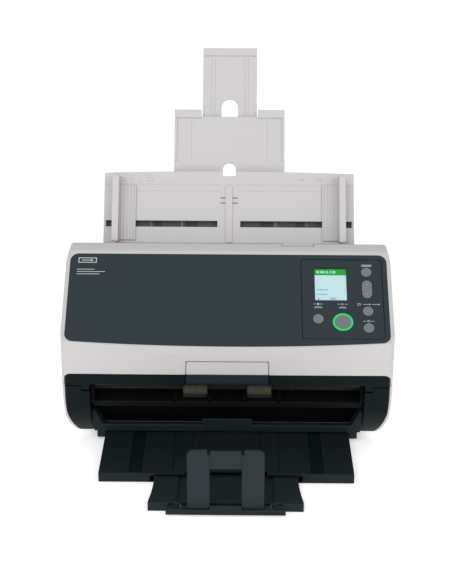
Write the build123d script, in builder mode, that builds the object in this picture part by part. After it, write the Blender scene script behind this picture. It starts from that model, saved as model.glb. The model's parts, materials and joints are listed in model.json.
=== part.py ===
"""Sheet fed document scanner, in millimetres.

+X is to the right, +Y to the back and +Z up. The origin is on the desk, under the middle of the body.
"""
import os
from math import cos, radians, sin, tan

from build123d import *

os.makedirs("parts", exist_ok=True)

# ------------------------------------------------------ driving dimensions
body_width = 300
body_depth = 170
rim_height = 162.6
seam_height = 60.4  # joint line between the cover and the base at the front
seam_gap = 0.5  # half the joint line between the cover and the base
wall = 2.5
play = 0.3  # sliding clearance between moving plastic parts
running = 0.05  # radial clearance of a shaft in its bearing

half_width = body_width / 2
front = -body_depth / 2
rear = body_depth / 2
skin_x = half_width - wall - 0.1  # inner face of the light side skins
mouth_half = 124.5  # half the width between the front pillars
chassis_x = 123.9  # inner faces of the chassis side plates
cheek_x = 121.9  # inner faces of the upper guide's bearing cheeks
guide_half = 122.8  # half the width of the paper guides

panel_tilt = 34.5  # operator panel slope above horizontal
panel_foot = (-83.5, 101.2)  # front lower edge of the sloping panel, as (Y, Z)
panel_length = 104.7

chute_tilt = 57  # chute slope above horizontal
entry = (40, 154.2)  # foot of the chute's front face, as (Y, Z)
bend_at = -100  # where the paper path flattens, measured along the chute slope
exit_tilt = 31
exit_length = 61.2
path_gap = 3  # space between the two paper guides
guide_thickness = 2.5
eject_forward = 49.8  # eject rollers, measured down the exit slope

hinge_axis = (-78.5, 58.2)  # cover hinge, as (Y, Z)
hinge_pin_radius = 1.5

tray_half = 112
tray_front = -148
tray_rear = -37
extension_half = 63
extension_front = -197
extension_rear = -118
stopper_axis = (-200, 4)
stopper_half = 32.3
stopper_height = 56.5
stopper_thickness = 2.6

main_half = 120
main_top = 71.6
upper_half = 53.5
upper_top = 133
tip_half = 26.4
tip_top = 196.5

up_y = cos(radians(chute_tilt))
up_z = sin(radians(chute_tilt))
out_y = cos(radians(exit_tilt))
out_z = sin(radians(exit_tilt))
slope_y = cos(radians(panel_tilt))
slope_z = sin(radians(panel_tilt))


def on_path(along, ahead=0):
    """Point (Y, Z): along the chute slope from its foot, and ahead of its front face."""
    return entry[0] + along * up_y - ahead * up_z, entry[1] + along * up_z + ahead * up_y


bend = on_path(bend_at)


def on_exit(forward, above=0):
    """Point (Y, Z): forward of the bend down the exit slope, and above its face."""
    return bend[0] - forward * out_y - above * out_z, bend[1] - forward * out_z + above * out_y


def on_panel(up, proud=0):
    """Point (Y, Z): up the panel slope from its foot, and proud of its face."""
    return panel_foot[0] + up * slope_y - proud * slope_z, panel_foot[1] + up * slope_z + proud * slope_y


def bend_shift(ahead):
    """How far the mitre at the bend moves along the chute slope at a given distance ahead."""
    return ahead * tan(radians((chute_tilt - exit_tilt) / 2))


# ------------------------------------------------------ shape helpers
def slab(points, x_from, x_to, mode=Mode.ADD):
    """Extrude a closed (Y, Z) outline from one X to another."""
    with BuildSketch(Plane.YZ.offset(x_from)) as outline:
        with BuildLine():
            Polyline(*points, close=True)
        make_face()
    extrude(outline.sketch, amount=x_to - x_from, mode=mode)


def block(x_range, y_range, z_range, mode=Mode.ADD):
    """Box between two corners, square to the axes."""
    ranges = (x_range, y_range, z_range)
    with Locations(tuple((low + high) / 2 for low, high in ranges)):
        Box(*(high - low for low, high in ranges), mode=mode)


def rod(centre, radius, x_from, x_to, mode=Mode.ADD):
    """Round bar along X about a (Y, Z) centre."""
    with Locations(((x_from + x_to) / 2, *centre)):
        Cylinder(radius, x_to - x_from, rotation=(0, 90, 0), mode=mode)


def save(builder, name):
    """Label a finished piece and write its file."""
    builder.part.label = name
    export_step(builder.part, f"parts/{name}.step")


panel_plane = Plane(origin=(0, *panel_foot), x_dir=(1, 0, 0), z_dir=(0, -slope_z, slope_y))
chute_plane = Plane(origin=(0, *entry), x_dir=(1, 0, 0), z_dir=(0, -up_z, up_y))
panel_normal = Axis((0, *panel_foot), panel_plane.z_dir)
exit_plane = Plane(origin=(0, *bend), x_dir=(1, 0, 0), z_dir=(0, -out_z, out_y))


def local_block(plane, x_range, y_range, z_range, mode=Mode.ADD):
    """Box between two corners given in a tilted plane's own axes."""
    ranges = (x_range, y_range, z_range)
    with Locations(plane * Location(tuple((low + high) / 2 for low, high in ranges))):
        Box(*(high - low for low, high in ranges), mode=mode)


def both_sides(low, high):
    """The same X range on the right and mirrored on the left."""
    return (low, high), (-high, -low)


# ------------------------------------------------------ housing outlines
front_bulge = 5.5  # how far the middle of the front stands ahead of its corners
corner_x = 146
top_corner_radius = 9
plan_corner_radius = 7
side_tuck = ((150, 52), (147.2, 28), (139.5, 6))  # right flank as (X, Z), curving in to the foot
base_floor = 4.6

seam_knee = -111.5  # where the seam turns from level to the chute slope, along the slope
knee_y = on_path(seam_knee, seam_gap)[0]
cover_side = (
    (-84, seam_height + seam_gap),
    (-85, 90),
    panel_foot,
    on_panel(panel_length),
    (8, 161.6),
    (17.5, rim_height),
    (21, 161.4),
    on_path(-4, seam_gap),
    on_path(seam_knee, seam_gap),
    (knee_y - 4, seam_height + seam_gap),
)


def base_outline(inset):
    """Side outline of the base, with its curved front and back."""
    with BuildSketch(Plane.YZ) as outline:
        with BuildLine():
            lower = (-57, base_floor)
            upper = (-83.4, seam_height - seam_gap)
            ThreePointArc(upper, (-77.5, 30), lower)
            Line(lower, (74, base_floor))
            ThreePointArc((74, base_floor), (81.8, 7.8), (rear, 15.6))
            Line((rear, 15.6), (rear, 92))
            ThreePointArc((rear, 92), (74, 126), on_path(-4, -11))
            Polyline(on_path(-4, -11), on_path(-4, -seam_gap), on_path(seam_knee - 0.6, -seam_gap), upper)
        make_face()
        if inset:
            offset(amount=-inset, kind=Kind.INTERSECTION)
    return outline.sketch


def polygon_outline(points):
    """Side outline from (Y, Z) corners."""
    with BuildSketch(Plane.YZ) as outline:
        with BuildLine():
            Polyline(*points, close=True)
        make_face()
    return outline.sketch


def front_outline(inset):
    """Front outline of the body: tucked-in feet and rounded top corners."""
    with BuildSketch(Plane.XZ) as outline:
        with BuildLine():
            right = [(x - inset, z) for x, z in side_tuck]
            left = [(-x, z) for x, z in right]
            shoulder = rim_height - inset - top_corner_radius
            top = rim_height - inset
            edge = half_width - inset
            foot = (right[2][0] - 1, -inset)
            Line(right[0], (edge, shoulder))
            RadiusArc((edge, shoulder), (edge - top_corner_radius, top), -top_corner_radius)
            Line((edge - top_corner_radius, top), (top_corner_radius - edge, top))
            RadiusArc((top_corner_radius - edge, top), (-edge, shoulder), -top_corner_radius)
            Line((-edge, shoulder), left[0])
            ThreePointArc(*left)
            Polyline(left[2], (-foot[0], foot[1]), foot, right[2])
            ThreePointArc(*reversed(right))
        make_face()
    return outline.sketch


def plan_outline(inset):
    """Plan outline of the body: a gently bulging front and rounded corners."""
    with BuildSketch(Plane.XY) as outline:
        with BuildLine():
            cheek = front + front_bulge + inset
            edge = half_width - inset
            turn_x = edge - plan_corner_radius
            turn_y = rear - plan_corner_radius
            ThreePointArc((-corner_x, cheek), (0, front + inset), (corner_x, cheek))
            Line((corner_x, cheek), (edge, cheek + plan_corner_radius))
            Line((edge, cheek + plan_corner_radius), (edge, turn_y))
            RadiusArc((edge, turn_y), (turn_x, rear - inset), -plan_corner_radius)
            Line((turn_x, rear - inset), (-turn_x, rear - inset))
            RadiusArc((-turn_x, rear - inset), (-edge, turn_y), -plan_corner_radius)
            Line((-edge, turn_y), (-edge, cheek + plan_corner_radius))
            Line((-edge, cheek + plan_corner_radius), (-corner_x, cheek))
        make_face()
    return outline.sketch


def housing(side, inset):
    """Body volume: a side outline trimmed by the front outline and the plan outline."""
    with BuildPart() as volume:
        extrude(side, amount=half_width - inset, both=True)
        extrude(front_outline(inset), amount=body_depth, both=True, mode=Mode.INTERSECT)
        extrude(plan_outline(inset), amount=2 * rim_height, both=True, mode=Mode.INTERSECT)
    return volume.part


cover_volume = housing(polygon_outline(cover_side), 0)
base_volume = housing(base_outline(0), 0)
base_cavity = housing(base_outline(wall), wall)

# ------------------------------------------------------ cover: shell and dark lower frame
band_foot = 74.6  # lower edge of the light front band at its middle
frame_drop = 2.4  # how far that edge falls towards the sides
tab_half = 37
pocket_depth = 1.6
panel_margin = 3.6
rim_wall_y = 21.5

def panel_face(inset):
    """Outline of the sloping panel: its foot follows the bulging front."""
    edge = half_width - panel_margin - inset
    top = panel_length - panel_margin - inset
    with BuildSketch(panel_plane) as face:
        with BuildLine():
            ThreePointArc((-edge, 5.7 + inset), (0, 0.6 + inset), (edge, 5.7 + inset))
            Polyline((edge, 5.7 + inset), (edge, top), (-edge, top), (-edge, 5.7 + inset))
        make_face()
        fillet(face.vertices(), 8 - inset)
    return face.sketch


def frame_face(half, top, corner):
    """Front view of the dark frame: its upper edge falls towards the rounded corners."""
    foot = top - 30
    with BuildSketch(Plane.XZ.offset(-front - 20)) as face:
        with BuildLine():
            ThreePointArc((-half, top - frame_drop), (0, top), (half, top - frame_drop))
            Polyline((half, top - frame_drop), (half, foot), (-half, foot), (-half, top - frame_drop))
        make_face()
        fillet(face.vertices().group_by(Axis.Z)[-1], corner)
    return face.sketch


cover_cavity_side = (
    (-81.4, 65.4),
    (-82.3, 90),
    on_panel(0.9, -4.2),
    on_panel(panel_length + 1, -4.2),
    (18.3, 159.4),
    (27.4, 142.8),
    on_path(-12, -20),
    on_path(-112, -20),
    (-40, 40),
    (-70, 40),
    (-70, 65.4),
)
entrance_cut = (
    (rim_wall_y, 180),
    (rim_wall_y, 158),
    on_path(-14, path_gap),
    on_path(-150, path_gap),
    (60, 40),
    (60, 180),
)

with BuildPart() as cover_shell:
    add(cover_volume)
    add(housing(polygon_outline(cover_cavity_side), wall), mode=Mode.SUBTRACT)
    slab(entrance_cut, -chassis_x, chassis_x, mode=Mode.SUBTRACT)
    # opening for the dark lower frame, with rounded upper corners
    extrude(frame_face(skin_x + 0.3, band_foot, 6), amount=40, mode=Mode.SUBTRACT)
    # pocket and window for the panel
    extrude(panel_face(0), amount=-pocket_depth, mode=Mode.SUBTRACT)
    with BuildSketch(panel_plane.offset(-pocket_depth)) as panel_window:
        with Locations((104.5, 53)):
            Rectangle(66, 78)
    extrude(amount=-10, mode=Mode.SUBTRACT)
    # recess for the front tab
    block((-tab_half - 0.5, tab_half + 0.5), (front - 1, -82.9), (band_foot - 4, 87.9), mode=Mode.SUBTRACT)
    # closers behind the side seams
    for low, high in both_sides(mouth_half + 0.2, skin_x + 0.3):
        slab((on_path(-8, 0.6), on_path(-104, 0.6), on_path(-104, 2.6), on_path(-8, 2.6)), low, high)
    # notch for the release lever
    block((50, 80), (12.1, 25), (154.6, 165), mode=Mode.SUBTRACT)
save(cover_shell, "cover_shell")

brake_centre = on_path(-54, 10 + 0.4)
idler_centre = on_path(-70, 6 + 0.8)
khaki_centre = on_exit(eject_forward, 7 + 0.8)

# ------------------------------------------------------ cover: dark lower frame with its hinge knuckles
knuckle_x = (125, 131.4)
knuckle_radius = 2.3
tab_top = 87.1
tab_back = -83.1
lip_foot = 65.9
frame_top = band_foot - 0.3
arch_end = (124.3, 62.8)
arch_crown = 64.1

frame_core_side = ((-90, 66.4), (-90, 80), (-60, 80), (-60, 66.4))
with BuildPart() as cover_frame:
    add(cover_volume)
    extrude(frame_face(skin_x, frame_top, 5.7), amount=40, mode=Mode.INTERSECT)
    block((-skin_x, skin_x), (-90, -71), (59, frame_top), mode=Mode.INTERSECT)
    add(housing(polygon_outline(frame_core_side), 3), mode=Mode.SUBTRACT)
    # the exit mouth's gently arched upper edge
    with BuildSketch(Plane.XZ.offset(60)) as mouth_arch:
        with BuildLine():
            ThreePointArc((-arch_end[0], arch_end[1]), (0, arch_crown), arch_end)
            Polyline(arch_end, (arch_end[0], 55), (-arch_end[0], 55), (-arch_end[0], arch_end[1]))
        make_face()
    extrude(amount=35, mode=Mode.SUBTRACT)
    block((-tab_half - 0.5, tab_half + 0.5), (-90, tab_back + 0.3), (lip_foot - 0.4, 90), mode=Mode.SUBTRACT)
    for low, high in both_sides(*knuckle_x):
        rod(hinge_axis, knuckle_radius, low, high)
        block((low, high), (hinge_axis[0] - 2.3, hinge_axis[0] + 2.3), (hinge_axis[1], 63))
        rod(hinge_axis, hinge_pin_radius + running, low - 1, high + 1, mode=Mode.SUBTRACT)
save(cover_frame, "cover_frame")

# ------------------------------------------------------ front tab, hanging from its top edge
with BuildPart() as front_tab:
    block((-tab_half + 0.4, tab_half - 0.4), (front - 0.3, tab_back), (band_foot + 0.3, tab_top))
    fillet(front_tab.edges().filter_by(Axis.Y).group_by(Axis.Z)[-1], 2)
save(front_tab, "front_tab")

with BuildPart() as front_tab_lip:
    lip_outline = (
        (front - 1.4, band_foot + 0.3),
        (tab_back, band_foot + 0.3),
        (tab_back, lip_foot),
        (front - 1.9, lip_foot),
        (front - 2.2, lip_foot + 2),
    )
    slab(lip_outline, -tab_half, tab_half)
save(front_tab_lip, "front_tab_lip")

# ------------------------------------------------------ sloping panel and operator panel
insert_x = (67.6, 141.1)
insert_y = (10, 95.6)
insert_floor = -3.2
insert_gap = 0.7
screen_x = (79.6, 108.6)
screen_y = (51.2, 87.5)
column_x = 127.2
small_button_radius = 4.9
small_buttons = {
    "menu_button": (column_x, 81.9),
    "manual_feed_button": (column_x, 39.3),
    "power_button": (column_x, 21.4),
    "stop_button": (81.9, 30.8),
}
rocker_at = (column_x, 62.9)
rocker_size = (9.2, 19.2)
scan_at = (104.1, 27.5)
scan_radius = 7
ring_radius = 9.2
board_top = -7.6


def rounded(plane, x_range, y_range, radius):
    """Rounded rectangle on a plane, from its own axes."""
    with BuildSketch(plane) as face:
        with Locations(((x_range[0] + x_range[1]) / 2, (y_range[0] + y_range[1]) / 2)):
            RectangleRounded(x_range[1] - x_range[0], y_range[1] - y_range[0], radius)
    return face.sketch


with BuildPart() as front_panel:
    extrude(panel_face(0.2), amount=-1.5)
    opening_x = (insert_x[0] - insert_gap, insert_x[1] + insert_gap)
    opening_y = (insert_y[0] - insert_gap, insert_y[1] + insert_gap)
    opening = rounded(panel_plane, opening_x, opening_y, 3 + insert_gap)
    extrude(opening, amount=4, both=True, mode=Mode.SUBTRACT)
save(front_panel, "front_panel")

with BuildPart() as operator_panel:
    extrude(rounded(panel_plane.offset(-0.15), insert_x, insert_y, 3), amount=-1.35)
    local_block(panel_plane, (72, 137), (14.5, 91.5), (insert_floor, -1.5))
    for x in (73.5, 135.5):
        for y in (16, 90):
            local_block(panel_plane, (x - 1.5, x + 1.5), (y - 1.5, y + 1.5), (board_top, insert_floor))
    window_x = (screen_x[0] - 0.2, screen_x[1] + 0.2)
    window_y = (screen_y[0] - 0.2, screen_y[1] + 0.2)
    extrude(rounded(panel_plane, window_x, window_y, 1.2), amount=4, both=True, mode=Mode.SUBTRACT)
    with BuildSketch(panel_plane) as button_holes:
        with Locations(*small_buttons.values()):
            Circle(small_button_radius + play)
        with Locations(rocker_at):
            SlotOverall(rocker_size[1] + 2 * play, rocker_size[0] + 2 * play, rotation=90)
        with Locations(scan_at):
            Circle(ring_radius + 0.1)
    extrude(amount=4, both=True, mode=Mode.SUBTRACT)
save(operator_panel, "operator_panel")

with BuildPart() as lcd_module:
    module_x = (screen_x[0] - 1.4, screen_x[1] + 1.4)
    module_y = (screen_y[0] - 1.4, screen_y[1] + 1.4)
    local_block(panel_plane, module_x, module_y, (board_top, insert_floor - 0.1))
save(lcd_module, "lcd_module")

with BuildPart() as lcd_window:
    extrude(rounded(panel_plane.offset(-0.5), screen_x, screen_y, 1), amount=-0.8)
save(lcd_window, "lcd_window")

for button_name, button_at in small_buttons.items():
    with BuildPart() as button:
        with BuildSketch(panel_plane.offset(-6)) as button_round:
            with Locations(button_at):
                Circle(small_button_radius)
        extrude(amount=6.5)
        fillet(button.edges().filter_by(GeomType.CIRCLE).sort_by(panel_normal)[-1], 0.4)
        with BuildSketch(panel_plane.offset(-4.8)) as button_flange:
            with Locations(button_at):
                Circle(small_button_radius + 0.9)
        extrude(amount=0.9)
    save(button, button_name)

with BuildPart() as up_down_rocker:
    with BuildSketch(panel_plane.offset(-5.5)) as rocker_pill:
        with Locations(rocker_at):
            SlotOverall(rocker_size[1], rocker_size[0], rotation=90)
    extrude(amount=6)
    with BuildSketch(panel_plane.offset(-5)) as rocker_flange:
        with Locations(rocker_at):
            SlotOverall(rocker_size[1] + 0.2, rocker_size[0] + 1.6, rotation=90)
    extrude(amount=0.9)
save(up_down_rocker, "up_down_rocker")

with BuildPart() as scan_button:
    with BuildSketch(panel_plane.offset(-6)) as scan_round:
        with Locations(scan_at):
            Circle(scan_radius)
    extrude(amount=6.4)
    with BuildSketch(panel_plane.offset(-4.8)) as scan_flange:
        with Locations(scan_at):
            Circle(scan_radius + 1.6)
    extrude(amount=0.9)
save(scan_button, "scan_button")

with BuildPart() as scan_ring:
    with BuildSketch(panel_plane.offset(insert_floor)) as ring_band:
        with Locations(scan_at):
            Circle(ring_radius)
            Circle(scan_radius + play, mode=Mode.SUBTRACT)
    extrude(amount=3.4)
save(scan_ring, "scan_ring")

with BuildPart() as panel_board:
    local_block(panel_plane, (72, 137), (14.5, 91.5), (board_top - 1.6, board_top))
save(panel_board, "panel_board")

# ------------------------------------------------------ cover: upper guide, glass, scan unit, brush
unit_along = (-97.5, -82.5)
glass_along = (-97, -83)
glass_half = 112
pick_along = -30
separation_along = -54
feed_along = -70
prong_x = (111.8, 116)
prong_slot = (-29, -17)
cheek_foot = path_gap + 0.5  # lower edge of the bearing cheeks, ahead of the paper path


def guide_outline(near, far, top_along, bottom_forward):
    """Bent strip between two distances ahead of the paper path."""
    return (
        on_path(top_along, near),
        on_path(bend_at + bend_shift(near), near),
        on_exit(bottom_forward, near),
        on_exit(bottom_forward, far),
        on_path(bend_at + bend_shift(far), far),
        on_path(top_along, far),
    )


with BuildPart() as upper_guide:
    slab(guide_outline(path_gap, path_gap + guide_thickness, -18, 40), -cheek_x - 0.1, cheek_x + 0.1)
    local_block(chute_plane, (-125, 125), (feed_along - 2.6, feed_along + 2.6), (4.2, 7), mode=Mode.SUBTRACT)
    brake_window = (separation_along - 9.6, separation_along + 9.6)
    local_block(chute_plane, (-12, 12), brake_window, (2, 7), mode=Mode.SUBTRACT)
    idler_window = (feed_along - 6.8, feed_along + 6.8)
    for low, high in both_sides(39.4, 60.6):
        local_block(chute_plane, (low, high), idler_window, (2, 7), mode=Mode.SUBTRACT)
    local_block(chute_plane, (-glass_half - 0.2, glass_half + 0.2), glass_along, (2, 7), mode=Mode.SUBTRACT)
    for low, high in both_sides(prong_x[0] - 0.6, prong_x[1] + 0.6):
        local_block(chute_plane, (low, high), prong_slot, (2, 7), mode=Mode.SUBTRACT)
    # bearing cheeks that carry the upper rollers and the scan unit
    cheek_outline = (
        on_path(-18, cheek_foot),
        on_path(bend_at + bend_shift(cheek_foot), cheek_foot),
        on_exit(60.5, cheek_foot),
        (-69.5, 46.5),
        (-69.5, 80),
        (-62, 98),
        (-2, 132),
        (6, 156.5),
        (15.5, 156.5),
        (23.5, 144.5),
    )
    for low, high in both_sides(cheek_x, chassis_x):
        slab(cheek_outline, low, high)
    for centre, radius in ((brake_centre, 3), (idler_centre, 2), (khaki_centre, 2)):
        rod(centre, radius + running, -chassis_x - 1, chassis_x + 1, mode=Mode.SUBTRACT)
save(upper_guide, "upper_guide")

pane_along = (glass_along[0] + 0.2, glass_along[1] - 0.2)
with BuildPart() as upper_glass:
    local_block(chute_plane, (-glass_half, glass_half), pane_along, (3.1, 5.4))
save(upper_glass, "upper_glass")

with BuildPart() as upper_scan_unit:
    local_block(chute_plane, (-121.6, 121.6), unit_along, (5.6, 25))
    local_block(chute_plane, (-105, 105), (unit_along[0] + 3, unit_along[1] - 3), (25, 29))
save(upper_scan_unit, "upper_scan_unit")

with BuildPart() as static_brush:
    block((-121.4, 121.4), (-72.6, -69.8), (58.6, 62.6))
    for blade_range in ((-121, -42.2), (-16.4, 16.4), (42.2, 121)):
        block(blade_range, (-71.8, -70.6), (53, 58.6))
save(static_brush, "static_brush")

# ------------------------------------------------------ rollers in the cover
with BuildPart() as brake_roller:
    rod(brake_centre, 3, -chassis_x + 0.2, chassis_x - 0.2)
    rod(brake_centre, 10, -11, 11)
save(brake_roller, "brake_roller")

with BuildPart() as feed_idlers:
    rod(idler_centre, 2, -chassis_x + 0.2, chassis_x - 0.2)
    for low, high in both_sides(40, 60):
        rod(idler_centre, 6, low, high)
save(feed_idlers, "feed_idlers")

with BuildPart() as eject_idlers:
    rod(khaki_centre, 2, -chassis_x + 0.2, chassis_x - 0.2)
    for low, high in both_sides(18.2, 40.2):
        rod(khaki_centre, 7, low, high)
save(eject_idlers, "eject_idlers")

# ------------------------------------------------------ release lever with its bar and latch prongs
lever_axis = (12, 147)
with BuildPart() as release_lever:
    lever_outline = (
        (10.2, 145),
        (13.8, 145),
        (16.6, 156.8),
        (22, 157.4),
        (22, 162.5),
        (21, 162.9),
        (14.6, 162.9),
        (14, 157),
    )
    slab(lever_outline, 50.4, 79.6)
    rod(lever_axis, 1.8, -118, 118)
    prong_outline = (
        (lever_axis[0] - 1.7, lever_axis[1]),
        on_path(-26, 7),
        on_path(-26, -2),
        on_path(-22, -2),
        on_path(-22, 7),
        (lever_axis[0] + 1.7, lever_axis[1]),
    )
    for low, high in both_sides(*prong_x):
        slab(prong_outline, low, high)
save(release_lever, "release_lever")

# ------------------------------------------------------ base: pillars, side covers, rear cover
pillar_rear = -64
shell_x = 126.4  # inner edge of the side covers
rear_corner = on_path(-4, -11)
inlet_x = (-96, -84)
usb_x = (-70, -58)
port_z = (19.2, 31)

pillar_outline = (
    (-95, base_floor - 1),
    (-57.6, base_floor - 1),
    (-57.6, 28),
    (pillar_rear, 28),
    (pillar_rear, seam_height + 1),
    (-95, seam_height + 1),
)
pillar_hollow_outline = (
    (-95, 0),
    (-57.2, 0),
    (-57.2, 28.4),
    (pillar_rear + 0.4, 28.4),
    (pillar_rear + 0.4, 70),
    (-95, 70),
)
with BuildPart() as front_hollow:
    extrude(front_outline(wall), amount=95)
    slab(pillar_hollow_outline, -half_width, half_width, mode=Mode.INTERSECT)

pillar_wall = 3
pillar_cores = {}
for sign in (-1, 1):
    with BuildPart() as pillar_core:
        add(housing(base_outline(pillar_wall), wall + pillar_wall))
        block(sorted((sign * 133, sign * 144.6)), (-95, -50), (8, 57), mode=Mode.INTERSECT)
    pillar_cores[sign] = pillar_core.part

for side_name, sign in (("left", -1), ("right", 1)):
    inner_range = sorted((sign * mouth_half, sign * skin_x))
    with BuildPart() as pillar:
        add(base_volume)
        block(inner_range, (-95, 0), (0, 70), mode=Mode.INTERSECT)
        slab(pillar_outline, *inner_range, mode=Mode.INTERSECT)
        extrude(front_outline(wall + 0.1), amount=95, mode=Mode.INTERSECT)
        add(pillar_cores[sign], mode=Mode.SUBTRACT)
        pocket_x = sorted((sign * (mouth_half - 1), sign * (knuckle_x[1] + 0.4)))
        block(pocket_x, (-95, hinge_axis[0] + 3.6), (hinge_axis[1] - 3, 70), mode=Mode.SUBTRACT)
        rod(hinge_axis, hinge_pin_radius, *sorted((sign * 124, sign * 137)), mode=Mode.SUBTRACT)
        # engraved outline below the knuckle
        block(sorted((sign * 131.5, sign * 132.1)), (-95, -80), (48.4, 60), mode=Mode.SUBTRACT)
        block(sorted((sign * 124.4, sign * 132.1)), (-95, -80.3), (47.8, 48.4), mode=Mode.SUBTRACT)
    save(pillar, f"pillar_{side_name}")

    # the dark pillar fills the front corner inside the skin
    with BuildPart() as side_skin:
        add(base_volume)
        add(base_cavity, mode=Mode.SUBTRACT)
        block(sorted((sign * shell_x, sign * 151)), (-95, 95), (0, 170), mode=Mode.INTERSECT)
        add(front_hollow.part, mode=Mode.SUBTRACT)
    save(side_skin, f"side_cover_{side_name}")

with BuildPart() as rear_cover:
    add(base_volume)
    add(base_cavity, mode=Mode.SUBTRACT)
    rear_keep = (
        (rear_corner[0], 170),
        (100, 170),
        (100, 0),
        (74.3, 0),
        (74.3, 12),
        (60, 12),
        (60, 120),
        (rear_corner[0], 130),
    )
    slab(rear_keep, -shell_x + 0.1, shell_x - 0.1, mode=Mode.INTERSECT)
    port_window_z = (port_z[0] - 1, port_z[1] + 0.4)
    for low, high in (inlet_x, usb_x):
        block((low - 0.4, high + 0.4), (rear - 6, rear + 6), port_window_z, mode=Mode.SUBTRACT)
    with Locations((0, rear, 48)):
        with GridLocations(9, 40, 12, 1):
            Box(4, 12, 26, mode=Mode.SUBTRACT)
    for low, high in both_sides(97.4, 108.6):
        local_block(chute_plane, (low, high), (-30, 10), (-14, -1), mode=Mode.SUBTRACT)
save(rear_cover, "rear_cover")

# ------------------------------------------------------ base: bottom tray, feet, screws
tunnel_half = 113.2
tunnel_top = 9.6
tunnel_rear = 42
tray_floor = 3.4
tray_top = 11.6
foot_places = [(x, y) for x in (-118.2, 118.2) for y in (-44, 66)]
with BuildPart() as bottom_tray:
    block((-mouth_half + 0.6, mouth_half - 0.6), (-57, 73.9), (tray_floor, tray_top))
    block((-tunnel_half, tunnel_half), (-60, tunnel_rear), (0, tunnel_top), mode=Mode.SUBTRACT)
    block((-tunnel_half, tunnel_half), (tunnel_rear + 2.5, 71.4), (tray_floor + 2, 20), mode=Mode.SUBTRACT)
save(bottom_tray, "bottom_tray")

with BuildPart() as rubber_feet:
    with Locations(*[(x, y, tray_floor / 2) for x, y in foot_places]):
        Cylinder(5.2, tray_floor)
    fillet(rubber_feet.edges().group_by(Axis.Z)[0], 0.8)
save(rubber_feet, "rubber_feet")

# ------------------------------------------------------ base: chassis with its bearings
sheet = 1.2
chassis_rear = 74
pick_centre = on_path(pick_along, 0.8 - 12)
separation_centre = on_path(separation_along, 0.1 - 10)
feed_centre = on_path(feed_along, 0.5 - 10)
eject_centre = on_exit(eject_forward, 0.5 - 7)
base_centres = (pick_centre, separation_centre, feed_centre, eject_centre)
main_motor_centre = (-24, 34)
pick_motor_centre = (54, 88)
motor_radius = 13
motor_shaft_radius = 2

with BuildPart() as chassis:
    block((-chassis_x - sheet, chassis_x + sheet), (-56, chassis_rear), (tray_top + 0.1, tray_top + 1.3))
    chassis_cheek = (
        (-56, tray_top + 0.1),
        (chassis_rear, tray_top + 0.1),
        (chassis_rear, 118),
        (52, 139),
        on_path(-12, -8),
        on_path(-12, -1.4),
        on_path(-108, -1.4),
        (-56, 59),
    )
    for low, high in both_sides(chassis_x, chassis_x + sheet):
        slab(chassis_cheek, low, high)
    for low, high in both_sides(chassis_x + sheet, chassis_x + 3.6):
        for centre in base_centres:
            rod(centre, 4.4, low, high)
    for centre in base_centres:
        rod(centre, 3 + running, -130, 130, mode=Mode.SUBTRACT)
    for centre in (main_motor_centre, pick_motor_centre):
        rod(centre, motor_shaft_radius + 1, chassis_x - 5, chassis_x + 5, mode=Mode.SUBTRACT)
save(chassis, "chassis")

# ------------------------------------------------------ base: lower guide with the exit ledge and fins
ledge_foot = 33.8
fin_places = (-47.7, -15.8, 15.8, 47.7)
eject_x = (18.3, 40.4)
pick_x = (13, 33)
feed_x = (40, 60)

with BuildPart() as lower_guide:
    slab(guide_outline(0, -guide_thickness, -5, exit_length), -guide_half, guide_half)
    ledge_outline = (
        on_exit(exit_length),
        (on_exit(exit_length)[0], ledge_foot),
        (on_exit(exit_length)[0] + 2.2, ledge_foot),
        on_exit(exit_length - 2, -guide_thickness),
    )
    slab(ledge_outline, -guide_half, guide_half)
    inner_wall = ((-44.5, 13.4), (-43, 13.4), (-43, 50.4), (-44.5, 50.4))
    slab(inner_wall, -guide_half, guide_half)
    fin_outline = (
        on_exit(exit_length + 1, -0.8),
        on_exit(exit_length, 5),
        on_exit(51.5, 5.2),
        on_exit(50.4, -0.5),
    )
    for x in fin_places:
        slab(fin_outline, x - 1.2, x + 1.2)
    # windows for the driven rollers
    roller_windows = [(chute_plane, (-12, 12), (separation_along - 8.5, separation_along + 8.5))]
    for low, high in both_sides(pick_x[0] - 0.6, pick_x[1] + 0.6):
        roller_windows.append((chute_plane, (low, high), (pick_along - 10, pick_along + 10)))
    for low, high in both_sides(feed_x[0] - 0.6, feed_x[1] + 0.6):
        roller_windows.append((chute_plane, (low, high), (feed_along - 8.5, feed_along + 8.5)))
    for low, high in both_sides(eject_x[0] - 0.6, eject_x[1] + 0.6):
        roller_windows.append((exit_plane, (low, high), (-eject_forward - 6.4, -eject_forward + 6.4)))
    for plane, window_x, window_along in roller_windows:
        local_block(plane, window_x, window_along, (-5, 2), mode=Mode.SUBTRACT)
    local_block(chute_plane, (-glass_half - 0.2, glass_half + 0.2), glass_along, (-5, 2), mode=Mode.SUBTRACT)
    for low, high in both_sides(prong_x[0] - 0.6, prong_x[1] + 0.6):
        local_block(chute_plane, (low, high), prong_slot, (-5, 2), mode=Mode.SUBTRACT)
save(lower_guide, "lower_guide")

with BuildPart() as lower_glass:
    local_block(chute_plane, (-glass_half, glass_half), pane_along, (-2.5, -0.1))
save(lower_glass, "lower_glass")

with BuildPart() as lower_scan_unit:
    local_block(chute_plane, (-chassis_x + 0.1, chassis_x - 0.1), unit_along, (-22, -2.6))
    local_block(chute_plane, (-105, 105), (unit_along[0] + 3, unit_along[1] - 3), (-26, -22))
save(lower_scan_unit, "lower_scan_unit")

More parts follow.
